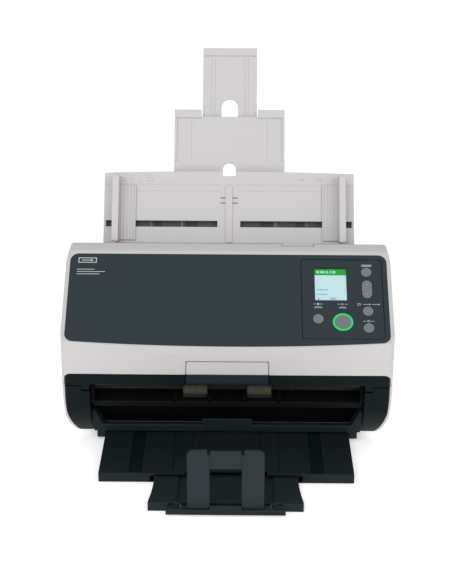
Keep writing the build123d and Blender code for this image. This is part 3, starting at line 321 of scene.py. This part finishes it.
# shades of the dark plastic, each with its colour, its edge wear and the nodes that wear it; the edge wear is
# set high here, so the paler edges paint highlights along them as well as wear
shades = {
    "stopper_plastic": ((0.02, 0.029, 0.0345), 0.3, ("stopper",)),
    "guide_plastic": ((0.0094, 0.0148, 0.0172), 0.6, ("stacker_tray",)),
    "shelf_plastic": (
        (0.0105, 0.0185, 0.0215), 1.0, ("stacker_base", "stacker_extension", "stacker_end"),
    ),
    "deck_plastic": ((0.0125, 0.0195, 0.0235), 0.4, ("front_tab_lip",)),
    # painted shade: the guides deep in the mouth are darkened to near black for the shade that falls there,
    # and their high edge wear paints a paler highlight line
    "mouth_painted_shade": ((0.0024, 0.0032, 0.0037), 1.4, ("upper_guide", "lower_guide")),
}
for name, (colour, edge_wear_and_highlight, wearers) in shades.items():
    finish[name] = moulded(
        name, colour, (0.45, 0.58), 0.5 * mm, 0.022 * mm, edge_wear_and_highlight, 0.06, 0.8 * mm, Specular_IOR_Level=0.15,
    )
    for node in wearers:
        paint(node, finish[name])
# painted shade: the hinge pins are darkened to the shade of the recess they sit in
paint("hinge_pins", metal("recess_shade_pin_steel", (0.03, 0.032, 0.034), (0.35, 0.5), (8, 1, 1), 0.006 * mm))
steel, rubber, acetal, black = (finish[kind] for kind in ("steel", "rubber", "gear_plastic", "unit_plastic"))
light, dark = finish["light_plastic"], finish["dark_plastic"]


# ------------------------------------------------------------------ meshes
class Build:
    """A mesh under construction, made of prisms, rings and turned shapes."""

    def __init__(self, place=level):
        self.bm = bmesh.new()
        self.place = place

    def point(self, x, y, z):
        return self.bm.verts.new(self.place @ Vector((x, y, z)))

    def face(self, corners, material, smooth=False):
        made = self.bm.faces.new(corners)
        made.material_index = material
        made.smooth = smooth
        return made

    def prism(self, outline, low, high, material=0, taper=1.0):
        """Upright prism over an outline, optionally drawn in towards its middle at the top."""
        centre = Vector((sum(p[0] for p in outline), sum(p[1] for p in outline))) / len(outline)
        drawn = [centre + (Vector(p) - centre) * taper for p in outline]
        foot = [self.point(x, y, low) for x, y in outline]
        top = [self.point(x, y, high) for x, y in drawn]
        self.face(foot[::-1], material)
        self.face(top, material)
        for i in range(len(outline)):
            j = (i + 1) % len(outline)
            self.face((foot[i], foot[j], top[j], top[i]), material)

    def bar(self, x, y, low, high, material=0, taper=1.0):
        """Rectangular prism over an X range and a Y range."""
        self.prism(((x[0], y[0]), (x[1], y[0]), (x[1], y[1]), (x[0], y[1])), low, high, material, taper)

    def block(self, x, y, z, material=0, taper=1.0):
        """Rectangular prism over three ranges in millimetres."""
        across, along, (low, high) = ((a * mm, b * mm) for a, b in (x, y, z))
        self.bar(across, along, low, high, material, taper)

    def arc(self, centre, inner, outer, low, high, material=0, start=0.0, sweep=tau, steps=36):
        """Flat ring, or part of one."""
        rows = []
        for i in range(steps + 1):
            turn = start + sweep * i / steps
            ray = Vector((cos(turn), sin(turn)))
            ends = (centre + ray * inner, centre + ray * outer)
            rows.append([self.point(*p, h) for h in (low, high) for p in ends])
        for near, far in zip(rows, rows[1:]):
            for a, b in ((0, 1), (1, 3), (3, 2), (2, 0)):
                self.face((near[a], near[b], far[b], far[a]), material)
        if sweep < tau:
            for row in (rows[0], rows[-1]):
                self.face((row[0], row[1], row[3], row[2]), material)

    def ring(self, outer, inner, low, high, material=0):
        """Upright band between two outlines with the same number of points."""
        rows = [[self.point(x, y, z) for x, y in side for z in (low, high)] for side in (outer, inner)]
        around = len(outer)
        for i in range(around):
            a, b = 2 * i, 2 * ((i + 1) % around)
            out, inn = rows
            self.face((out[a], out[b], out[b + 1], out[a + 1]), material)
            self.face((inn[a], inn[a + 1], inn[b + 1], inn[b]), material)
            self.face((out[a + 1], out[b + 1], inn[b + 1], inn[a + 1]), material)
            self.face((out[a], inn[a], inn[b], out[b]), material)

    def turned(self, axis, profile, material=0, steps=48, groove=0.0, teeth=0):
        """Solid turned about a line along X through a (Y, Z) point; profile holds (X, radius, cut) rows."""
        rows = []
        for i in range(steps):
            turn = tau * i / steps
            sunk = groove if teeth and (i * teeth * 2 // steps) % 2 else 0.0
            row = []
            for x, radius, cut in profile:
                r = radius - (sunk if cut else 0.0)
                row.append(self.bm.verts.new((x, axis[0] + r * cos(turn), axis[1] + r * sin(turn))))
            rows.append(row)
        for i in range(steps):
            near, far = rows[i], rows[(i + 1) % steps]
            for k in range(len(profile) - 1):
                self.face((near[k], near[k + 1], far[k + 1], far[k]), material, smooth=not teeth)
        for k in (0, -1):
            self.face([row[k] for row in rows], material)

    def done(self, name, body, materials, round_by=0.0, segments=2, stands_for=()):
        """Turn the mesh into an object that moves with a CAD body."""
        bmesh.ops.remove_doubles(self.bm, verts=self.bm.verts, dist=1e-7)
        bmesh.ops.recalc_face_normals(self.bm, faces=self.bm.faces)
        mesh = bpy.data.meshes.new(name)
        self.bm.to_mesh(mesh)
        self.bm.free()
        made = bpy.data.objects.new(name, mesh)
        bpy.context.scene.collection.objects.link(made)
        for material in materials:
            mesh.materials.append(material)
        if round_by:
            bevel = made.modifiers.new("rounded", "BEVEL")
            bevel.width = round_by
            bevel.segments = segments
            bevel.limit_method = "ANGLE"
            bevel.angle_limit = radians(35)
            made.modifiers.new("weighted", "WEIGHTED_NORMAL").weight = 100
        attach(made, body)
        if stands_for:
            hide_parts(*stands_for)
        return made


def mirrored(low, high):
    """A range and its image on the other side."""
    return (low, high), (-high, -low)


def points_at(origin, pairs):
    """Points given in millimetres from an origin."""
    return [(origin.x + a * mm, origin.y + b * mm) for a, b in pairs]


def rounded_box(x, y, radius, steps=5):
    """Outline of a rectangle with round corners."""
    corners = ((x[1], y[0], -pi / 2), (x[1], y[1], 0), (x[0], y[1], pi / 2), (x[0], y[0], pi))
    outline = []
    for cx, cy, start in corners:
        centre_x = cx - radius if cx == x[1] else cx + radius
        centre_y = cy - radius if cy == y[1] else cy + radius
        for i in range(steps + 1):
            turn = start + pi / 2 * i / steps
            outline.append((centre_x + radius * cos(turn), centre_y + radius * sin(turn)))
    return outline


# ------------------------------------------------------------------ display
window = local_box("lcd_window", panel)
screen_x = (window[0].x + 0.1 * mm, window[1].x - 0.1 * mm)
screen_y = (window[0].y + 0.1 * mm, window[1].y - 0.1 * mm)
sheet_top = window[0].z - 0.25 * mm
sheet_low = sheet_top - 0.35 * mm
ink_top = sheet_top + 0.03 * mm
header_top = screen_y[1] - 1.5 * mm
header_foot = screen_y[1] - 8.2 * mm

PAPER, GREEN, TOP_SHADOW, PALE, BLUE = range(5)
corner = Vector((screen_x[0], screen_y[0]))
sheet, ink = (sheet_low, sheet_top), (sheet_top, ink_top)
title_y = (header_foot + 2.1 * mm, header_top - 1.8 * mm)
word_gap = 0.45
display = Build(panel)
display.bar(screen_x, (screen_y[0], header_foot), *sheet, PAPER)
display.bar(screen_x, (header_foot, header_top), *sheet, GREEN)
# painted shadow: a dark band along the top edge of the screen, standing in for shade under the window's top
# edge
display.bar(screen_x, (header_top, screen_y[1]), *sheet, TOP_SHADOW)
for start, length in ((1.5, 2.6), (5.0, 4.2), (10.2, 2.2), (13.6, 1.2), (15.8, 3.4)):
    x = corner.x + start * mm
    display.bar((x, x + length * mm), title_y, *ink, PALE)
for row, lengths in ((11.2, (1.6, 2.4, 1.4, 2.6, 0.6)), (6.2, (2.4, 1.4, 2.0, 1.4, 0.6))):
    row_y = (corner.y + row * mm, corner.y + (row + 1.2) * mm)
    x = corner.x + 1.9 * mm
    for length in lengths:
        display.bar((x, x + length * mm), row_y, *ink, BLUE)
        x += (length + word_gap) * mm
    x = screen_x[1] - 2.6 * mm
    display.bar((x, x + 0.7 * mm), row_y, *ink, BLUE)
display.prism(points_at(corner, ((1.6, 0.8), (3.8, 0.8), (3.8, 3.4))), *ink, BLUE)
key_y = (corner.y + 0.8 * mm, corner.y + 3.2 * mm)
display.bar((corner.x + 13.6 * mm, corner.x + 19.4 * mm), key_y, *ink, PALE)
word_y = (key_y[0] + 0.7 * mm, key_y[1] - 0.7 * mm)
display.bar((corner.x + 14.4 * mm, corner.x + 18.6 * mm), word_y, ink_top, ink_top + 0.02 * mm, BLUE)
screens = [screen_paper, screen_green, screen_top_shadow, screen_pale, screen_blue]
display.done("display_image", "cover", screens)

# ------------------------------------------------------------------ seals, a sheet of painted shade in the mouth, and printed marks on the panels
insert_low, insert_high = local_box("operator_panel", panel)
skin_face = insert_high.z


def insert_outline(grow, radius):
    """Outline of the operator panel, grown by a distance."""
    across = (insert_low.x - grow, insert_high.x + grow)
    return rounded_box(across, (insert_low.y - grow, insert_high.y + grow), radius)


gasket = Build(panel)
gasket.ring(insert_outline(0.62 * mm, 3.6 * mm), insert_outline(0.03 * mm, 3 * mm), -1.58 * mm, -1.0 * mm)
gasket.done("panel_gasket", "cover", [black])
# painted shade: a thin near-black sheet laid on the floor deep inside the mouth, where only shade falls
shade_sill = Build()
shade_sill.block((-122, 122), (-55.9, -44.6), (12.92, 13.1))
shade_sill.done("inner_shade_sill", "base", [finish["mouth_painted_shade"]])

sunk, proud = 0.02 * mm, 0.05 * mm
print_low, print_top = skin_face - sunk, skin_face + proud
label_rise = 7.4 * mm


def button_at(node):
    centre = middle(local_box(node, panel))
    return Vector((centre.x, centre.y))


def marks(builder, centre, shapes):
    """Small printed shapes round a centre, in millimetres: bars as x0, x1, y0, y1."""
    for x0, x1, y0, y1 in shapes:
        x_range = (centre.x + x0 * mm, centre.x + x1 * mm)
        builder.bar(x_range, (centre.y + y0 * mm, centre.y + y1 * mm), print_low, print_top)


labels = Build(panel)
centre = button_at("menu_button") + Vector((0.4 * mm, label_rise))
marks(labels, centre, [(-4.6, 4.6, y, y + 0.42) for y in (-1.1, -0.25, 0.6)])
centre = button_at("manual_feed_button") + Vector((0.2 * mm, label_rise))
marks(labels, centre, [(-9.6, -6.8, -1.1, -0.75), (-9.6, -6.8, 0.75, 1.1)])
marks(labels, centre, [(-9.6, -9.2, -1.1, 1.1), (-7.2, -6.8, -1.1, 1.1)])
marks(labels, centre, [(-4.6, 1.2, -0.2, 0.2), (3.6, 9.6, -0.2, 0.2)])
for x in (1.2, 9.6):
    labels.prism(points_at(centre, ((x, -1), (x + 1.3, 0), (x, 1))), print_low, print_top)
centre = button_at("power_button") + Vector((0.2 * mm, label_rise - 0.2 * mm))
labels.arc(centre, 0.9 * mm, 1.25 * mm, print_low, print_top, start=radians(120), sweep=radians(300))
marks(labels, centre, [(-0.18, 0.18, 0.1, 1.5), (-5.2, -2.2, -0.2, 0.2), (2.2, 5.2, -0.2, 0.2)])
centre = button_at("stop_button") + Vector((0.2 * mm, 14 * mm))
marks(labels, centre, [(-0.9, 0.9, 1.1, 2.9), (-4.2, -1.9, 1.8, 2.2), (1.9, 4.2, 1.8, 2.2)])
marks(labels, centre, [(-4, 4, -2.2, -1.8), (-3, 3, -1.2, -0.8)])
centre = button_at("scan_button") + Vector((0.2 * mm, 17.2 * mm))
labels.prism(points_at(centre, ((-0.8, 1.1), (1.1, 2.05), (-0.8, 3.0))), print_low, print_top)
marks(labels, centre, [(-4.4, -1.8, 1.85, 2.25), (2.0, 4.6, 1.85, 2.25)])
marks(labels, centre, [(-3.6, 3.6, -2.2, -1.8), (-2.6, 2.6, -1.2, -0.8)])
labels.done("control_labels", "cover", [white_ink])

# a plain sheet-and-arrow mark and three bars on the left of the sloping panel
plain_face = local_box("front_panel", panel)[1].z
print_low, print_top = plain_face - sunk, plain_face + proud
emblem = Build(panel)
corner = Vector((-138.8 * mm, 90.6 * mm))
marks(emblem, corner, [(0, 17, 0, 0.8), (0, 17, 5, 5.8), (0, 0.8, 0.8, 5), (16.2, 17, 0.8, 5)])
marks(emblem, corner, [(3.2, 11.4, 2.5, 3.3)])
emblem.prism(points_at(corner, ((11.4, 1.4), (13.8, 2.9), (11.4, 4.4))), print_low, print_top)
corner = Vector((-139.6 * mm, 83 * mm))
marks(emblem, corner, [(0, 16, 0, 0.6), (0, 26, -2.6, -2.0), (0, 21, -5.2, -4.6)])
emblem.done("panel_emblem", "cover", [white_ink])

rocker = local_box("up_down_rocker", panel)
rocker_centre = middle(rocker)
rocker_marks = Build(panel)
for way in (-1, 1):
    tip = points_at(rocker_centre, ((-1.9, 4.1 * way), (1.9, 4.1 * way), (0, 6.5 * way)))
    rocker_marks.prism(tip, rocker[1].z - 0.05 * mm, rocker[1].z + 0.12 * mm, taper=0.85)
pale_button = moulded("pale_button", (0.27, 0.29, 0.31), (0.4, 0.5), 0.3 * mm, 0.01 * mm, 0.1, 0.03)
rocker_marks.done("rocker_arrows", "up_down_rocker", [pale_button])

# ------------------------------------------------------------------ rollers
light_edge = 0.6 * mm
collar = 1.2 * mm


def roller_axis(node):
    """Y and Z of the line that a roller turns about."""
    centre = middle(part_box(node))
    return centre.y, centre.z


def shaft_profile(low, high, radius):
    """Bar with chamfered ends."""
    step = 0.35 * mm
    ends = (low, radius - step, 0), (high, radius - step, 0)
    return [ends[0], (low + step, radius, 0), (high - step, radius, 0), ends[1]]


def tyre_profile(low, high, radius, crown=0.0, rows=7):
    """Tyre with soft shoulders and a slight crown."""
    bore, flank, shoulder = radius * 0.55, radius - light_edge, radius - 0.25 * mm
    profile = [(low, bore, 0), (low, flank, 0), (low + 0.2 * mm, shoulder, 1)]
    for i in range(rows):
        share = i / (rows - 1)
        x = low + light_edge + (high - low - 2 * light_edge) * share
        profile.append((x, radius - crown * (2 * share - 1) ** 2, 1))
    profile += [(high - 0.2 * mm, shoulder, 1), (high, flank, 0), (high, bore, 0)]
    return profile


# node, tyre, its radius, the bar's radius, spans along X, tread depth, tread count and crown
cover_rollers = (
    ("eject_idlers", "khaki_rubber", 7, 2, mirrored(18.2, 40.2), 0, 0, 0.1),
    ("feed_idlers", "gear_plastic", 6, 2, mirrored(40, 60), 0, 0, 0.1),
    ("brake_roller", "rubber", 10, 3, ((-11, 11),), 0.35, 36, 0),
)
for node, kind, radius, bar, spans, groove, teeth, crown in cover_rollers:
    axis = roller_axis(node)
    low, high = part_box(node)[0].x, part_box(node)[1].x
    made = Build()
    made.turned(axis, shaft_profile(low, high, bar * mm))
    for a, b in spans:
        steps = teeth * 4 if teeth else 64
        made.turned(axis, tyre_profile(a * mm, b * mm, radius * mm, crown * mm), 1, steps, groove * mm, teeth)
        for x in (a * mm - collar, b * mm):
            made.turned(axis, shaft_profile(x, x + collar, (bar + 1.1) * mm), 2)
    hub = acetal if kind == "gear_plastic" else black
    core = steel if kind == "rubber" else hub
    made.done(f"{node}_set", node, [core, finish[kind], hub], stands_for=(node,))

# node, body, radius, spans along X and tread count
base_tyres = (
    ("pick_rollers", "pick_roller", 12, mirrored(13, 33), 40),
    ("feed_rollers", "feed_roller", 10, mirrored(40, 60), 36),
    ("eject_rollers", "eject_roller", 7, mirrored(18.3, 40.4), 28),
)
for node, body, radius, spans, teeth in base_tyres:
    axis = roller_axis(node)
    made = Build()
    for a, b in spans:
        made.turned(axis, tyre_profile(a * mm, b * mm, radius * mm), 0, teeth * 4, 0.4 * mm, teeth)
        made.turned(axis, shaft_profile(a * mm - 0.4 * mm, b * mm + 0.4 * mm, radius * 0.6 * mm), 1)
    made.done(f"{node}_treaded", body, [rubber, acetal], stands_for=(node,))

node = "separation_roller"
axis = roller_axis(node)
low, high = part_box(node)[0].x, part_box(node)[1].x
made = Build()
made.turned(axis, shaft_profile(low, high, 3 * mm))
made.turned(axis, tyre_profile(-11 * mm, 11 * mm, 10 * mm), 1, 144, 0.35 * mm, 36)
made.turned(axis, shaft_profile(-11.4 * mm, 11.4 * mm, 6 * mm), 2)
pulley_profile = [(x * mm, 4.6 * mm, cut) for x, cut in ((138, 0), (138.3, 1), (141.7, 1), (142, 0))]
made.turned(axis, pulley_profile, 2, 72, 0.35 * mm, 18)
made.done(f"{node}_treaded", node, [steel, rubber, acetal], stands_for=(node,))

# ------------------------------------------------------------------ static brush
brush_low, brush_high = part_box("static_brush")
holder_low = brush_high.z - 4 * mm
tuft_y = brush_low.y + 1.4 * mm
brush_spans = ((-121, -42.2), (-16.4, 16.4), (42.2, 121))
bristles_per_mm = 9
seeded = random.Random(41)
brush = Build()
brush.bar((brush_low.x, brush_high.x), (brush_low.y, brush_high.y), holder_low, brush_high.z, 0)
for low, high in brush_spans:
    clamp = (brush_low.y + 0.6 * mm, brush_high.y - 0.6 * mm)
    brush.bar(((low + 0.4) * mm, (high - 0.4) * mm), clamp, holder_low - 0.9 * mm, holder_low, 0)
    for i in range(int((high - low - 1) * bristles_per_mm)):
        x = (low + 0.5 + (i + 0.6 * seeded.random()) / bristles_per_mm) * mm
        y = tuft_y + seeded.uniform(-0.35, 0.35) * mm
        lean = Vector((seeded.uniform(-0.3, 0.3) * mm, seeded.uniform(-0.15, 0.15) * mm, 0))
        foot = Vector((x, y, brush_low.z + seeded.uniform(0, 0.7) * mm)) + lean
        top = Vector((x, y, holder_low))
        thick = seeded.uniform(0.05, 0.09) * mm
        ring = [Vector((thick * cos(tau * k / 3), thick * sin(tau * k / 3), 0)) for k in range(3)]
        lower = [brush.bm.verts.new(foot + r * 0.5) for r in ring]
        upper = [brush.bm.verts.new(top + r) for r in ring]
        material = 1 + (seeded.random() < 0.3)
        for k in range(3):
            brush.face((lower[k], lower[(k + 1) % 3], upper[(k + 1) % 3], upper[k]), material)
        brush.face(lower, material)
        brush.face(upper, material)
pale_bristle = rubbery("pale_bristle", (0.085, 0.08, 0.055), (0.5, 0.8), 0.2 * mm, 0.01 * mm, 0.1)
bristles = [black, finish["brush"], pale_bristle]
brush.done("static_brush_bristles", "cover", bristles, stands_for=("static_brush",))

# ------------------------------------------------------------------ stacker: ribs, runners, a painted highlight bead and painted shade in the channels
shelf_top = 3.7 * mm
rib_low = shelf_top - 0.1 * mm
ribs = Build()
for y in (-184.8, -147.2):
    outline = rounded_box((-7.7 * mm, 7.7 * mm), ((y - 0.7) * mm, (y + 0.7) * mm), 0.5 * mm, 3)
    ribs.prism(outline, rib_low, shelf_top + 0.25 * mm, taper=0.96)
for x in (-3.9, 3.3):
    outline = rounded_box((x * mm, (x + 0.6) * mm), (-183 * mm, -149 * mm), 0.25 * mm, 3)
    ribs.prism(outline, rib_low, shelf_top + 0.15 * mm, taper=0.99)
ribs.done("extension_ribs", "stacker_extension", [finish["stopper_plastic"]])

runners = Build()
for span in mirrored(61.5, 67.4):
    runners.block(span, (-147.9, -112), (0.3, 0.7))
runners.done("tray_runners", "stacker_tray", [finish["guide_plastic"]])
# painted highlight: a paler strip along the deck's front edge, standing in for the light caught by its
# rounded edge
highlight_bead = Build()
for span in mirrored(23.2, 111.8):
    highlight_bead.block(span, (-71.12, -69.1), (16.5, 17.08))
highlight_bead.done("deck_highlight_bead", "base", [finish["stopper_plastic"]], round_by=0.2 * mm)
# painted shade: a near-black film on the channel floors, where shade falls under the deck
channel_shade = Build()
for span in mirrored(74.2, 85.8):
    channel_shade.block(span, (-145.8, -60), (7.78, 7.84))
channel_shade.done("tray_channel_shade", "stacker_tray", [dark])

# ------------------------------------------------------------------ chute: plates of painted shade with painted shaded and lit bands, and embossed marks
def emboss(builder, shapes, z):
    """Raised bars over a height range, each as x0, x1, y0 and y1, all in millimetres."""
    for x0, x1, y0, y1 in shapes:
        builder.block((x0, x1), (y0, y1), z, taper=0.97)


# painted shade: dark plates laid behind the chute's slots, where only shade is seen, with darker shaded bands
# and paler lit bands painted across them
shade_plates = Build(chute)
SHADE_GREY, SHADED, LIT = range(3)
strip_along = (12, 27)
for side, (low, high) in enumerate(mirrored(8, 118.4)):
    shade_plates.block((low, high), (11, 28), (-5.58, -5.36), SHADE_GREY)
    for step in range(12):
        x = low + 4 + 9 * step
        shade_plates.block((x, x + 0.8), strip_along, (-5.4, -5.33), SHADE_GREY)
    for near, far, shade in ((30, 42, SHADED), (44, 46, LIT), (64, 72, SHADED), (74, 75.5, LIT)):
        shade_plates.block(mirrored(near, far)[side], strip_along, (-5.37, -5.3), shade)
# colours of the painted shade plates and their shaded and lit bands; the dark one also colours the ridge
# marks
shade_plate_grey = moulded("shade_plate_grey", (0.058, 0.06, 0.06), (0.5, 0.65), 0.6 * mm, 0.02 * mm, 0.2, 0.1)
dark_marks_and_painted_shade = moulded("dark_marks_and_painted_shade", (0.02, 0.021, 0.022), (0.5, 0.65), 0.6 * mm, 0.02 * mm, 0.2, 0.1)
painted_light_pale = moulded("painted_light_pale", (0.16, 0.165, 0.165), (0.5, 0.65), 0.6 * mm, 0.02 * mm, 0.2, 0.1)
shade_plates.done("chute_inner_shade_plates", "chute", [shade_plate_grey, dark_marks_and_painted_shade, painted_light_pale])
notes = Build(chute)
emboss(notes, [(-8.2, -3.3, k, k + 0.9) for k in (39.7, 44.7)], (-0.02, 0.04))
notes.done("chute_ridge_marks", "chute", [dark_marks_and_painted_shade])

header = Build(chute)
relief = (-0.02, 0.16)
emboss(header, [(-104, -99, k, k + 0.5) for k in (61.6, 63.2, 64.8)], relief)
header.arc(Vector((-94 * mm, 63.4 * mm)), 1.8 * mm, 2.3 * mm, *(z * mm for z in relief))
pointer = [(x * mm, k * mm) for x, k in ((-88, 61.6), (-83.5, 61.6), (-85.75, 65.2))]
header.prism(pointer, *(z * mm for z in relief), taper=0.9)
emboss(header, [(-79, -73, 61.6, 62.1), (-79, -73, 64.7, 65.2)], relief)
emboss(header, [(-79, -78.5, 62.1, 64.7), (-73.5, -73, 62.1, 64.7)], relief)
emboss(header, [(68, 73, 62.4, 62.9), (68, 73, 64, 64.5)], relief)
emboss(header, [(84, 90, 62, 62.5), (84, 90, 64.4, 64.9)], relief)
emboss(header, [(84, 84.5, 62.5, 64.4), (89.5, 90, 62.5, 64.4)], relief)
emboss(header, [(99, 104, k, k + 0.5) for k in (61.6, 63.2, 64.8)], relief)
header.done("chute_header_marks", "chute", [light])

# extension, the face its ribs stand on, their places along X and their reach up the slope
rib_half = 0.3
extension_ribs = (
    (1, -6.0, (-37, 37), (84, 126)),
    (2, -9.0, (-18, -14.6, 14.6, 18), (124, 190)),
)
for number, face, places, reach in extension_ribs:
    fine = Build(chute)
    emboss(fine, [(x - rib_half, x + rib_half, *reach) for x in places], (face - 0.05, face + 0.12))
    fine.done(f"extension_{number}_ribs", f"chute_extension_{number}", [light])

# ------------------------------------------------------------------ screws and the rating label
rear_face = Matrix(((-1, 0, 0, 0), (0, 0, 1, 85 * mm), (0, 1, 0, 0), (0, 0, 0, 1)))
under_face = Matrix(((1, 0, 0, 0), (0, -1, 0, 0), (0, 0, -1, 3.4 * mm), (0, 0, 0, 1)))


def screws(name, place, points, radius):
    """Heads of cross-recessed screws on a face, at points in millimetres in its own axes, with the recess
    painted as a flat dark cross (painted shade) and a black ring round each.
    """
    heads = Build(place)
    for x, y in points:
        centre = Vector((x * mm, y * mm))
        rim = [centre + Vector((cos(tau * k / 24), sin(tau * k / 24))) * radius for k in range(24)]
        heads.prism(rim, -0.3 * mm, 0.7 * mm, 0, taper=0.8)
        heads.arc(centre, radius * 1.05, radius * 1.5, -0.05 * mm, 0.08 * mm, 2)
        # painted shade: a flat dark cross stands in for the shaded cross recess
        arm, half = radius * 0.5, radius * 0.12
        for wide, tall in ((arm, half), (half, arm)):
            across, up = (centre.x - wide, centre.x + wide), (centre.y - tall, centre.y + tall)
            heads.bar(across, up, 0.69 * mm, 0.73 * mm, 1)
    heads.done(name, "base", [steel, finish["port"], black])


under_points = ((-118.6, 20), (118.6, 20), (-118.6, -10), (118.6, -10), (0, -60), (60, -60), (-60, -60))
screws("rear_screws", rear_face, ((-112, 24), (112, 24), (-112, 84), (112, 84)), 2.6 * mm)
screws("base_screws", under_face, under_points, 2.4 * mm)

label = Build(rear_face)
plate = rounded_box((-96 * mm, -44 * mm), (60 * mm, 84 * mm), 1.5 * mm)
label.prism(plate, -0.02 * mm, 0.12 * mm)
margin = -93.0
inked = (0.11, 0.14)
for row in range(6):
    y = 80 - 2.6 * row
    label.block((margin, -62 - 3 * (row % 3)), (y - 0.9, y), inked, 1)
x = margin
for width in (0.8, 0.4, 1.2, 0.4, 0.8, 1.6, 0.4, 0.8, 1.2, 0.4, 0.4, 1.6, 0.8, 0.4, 1.2):
    label.block((x, x + width), (61.5, 64.5), inked, 1)
    x += width + 0.7
label_film = printed("label_film", (0.52, 0.53, 0.53), rough=(0.25, 0.4))
label_ink = printed("label_ink", (0.03, 0.03, 0.035))
label.done("rating_label", "base", [label_film, label_ink])

# ------------------------------------------------------------------ floor, lights and camera
floor_mesh = bpy.data.meshes.new("floor")
far = 9
floor_mesh.from_pydata([(-far, -far, 0), (far, -far, 0), (far, far, 0), (-far, far, 0)], [], [(0, 1, 2, 3)])
floor = bpy.data.objects.new("floor", floor_mesh)
floor.location.z = -0.2 * mm
bpy.context.scene.collection.objects.link(floor)
pale = Graph("floor_pale")
floor_shade = pale.mix(pale.noise(0.4, 3), (0.90, 0.90, 0.90, 1), (0.92, 0.92, 0.92, 1))
floor_mesh.materials.append(
    pale.finish(
        floor_shade,
        pale.spread(pale.noise(0.05, 3), 0, 1, 0.75, 0.9),
        pale.bump(pale.noise(1 * mm, 2), 0.01 * mm),
        Emission_Color=(1, 1, 1, 1), Emission_Strength=0.45,
    )
)

world = bpy.data.worlds.new("studio")
bpy.context.scene.world = world
world.use_nodes = True
world.node_tree.nodes["Background"].inputs["Color"].default_value = (1.0, 0.995, 0.985, 1)
world.node_tree.nodes["Background"].inputs["Strength"].default_value = 0.55


def soft_light(name, at, towards, size, power):
    light = bpy.data.lights.new(name, "AREA")
    light.shape = "RECTANGLE"
    light.size, light.size_y = size
    light.energy = power
    lamp = bpy.data.objects.new(name, light)
    lamp.location = at
    lamp.rotation_euler = (Vector(towards) - Vector(at)).to_track_quat("-Z", "Y").to_euler()
    bpy.context.scene.collection.objects.link(lamp)


soft_light("key", (-0.8, -1.7, 1.7), (0, 0, 0.1), (1.6, 1.2), 17)
soft_light("fill", (1.2, -1.6, 1.2), (0, 0, 0.1), (1.4, 1.4), 9)

camera_data = bpy.data.cameras.new("camera")
camera_data.lens = 89.9
camera_data.clip_end = 40
camera = bpy.data.objects.new("camera", camera_data)
bpy.context.scene.collection.objects.link(camera)
pitch, yaw, roll = radians(22), radians(0.475), radians(0.22)
aim = Matrix.Rotation(yaw, 4, "Z") @ Matrix.Rotation(pi / 2 - pitch, 4, "X") @ Matrix.Rotation(roll, 4, "Z")
camera.matrix_world = Matrix.Translation((8.5 * mm, -1.2702, 0.6338)) @ aim
bpy.context.scene.camera = camera
bpy.context.scene.view_settings.view_transform = "Standard"
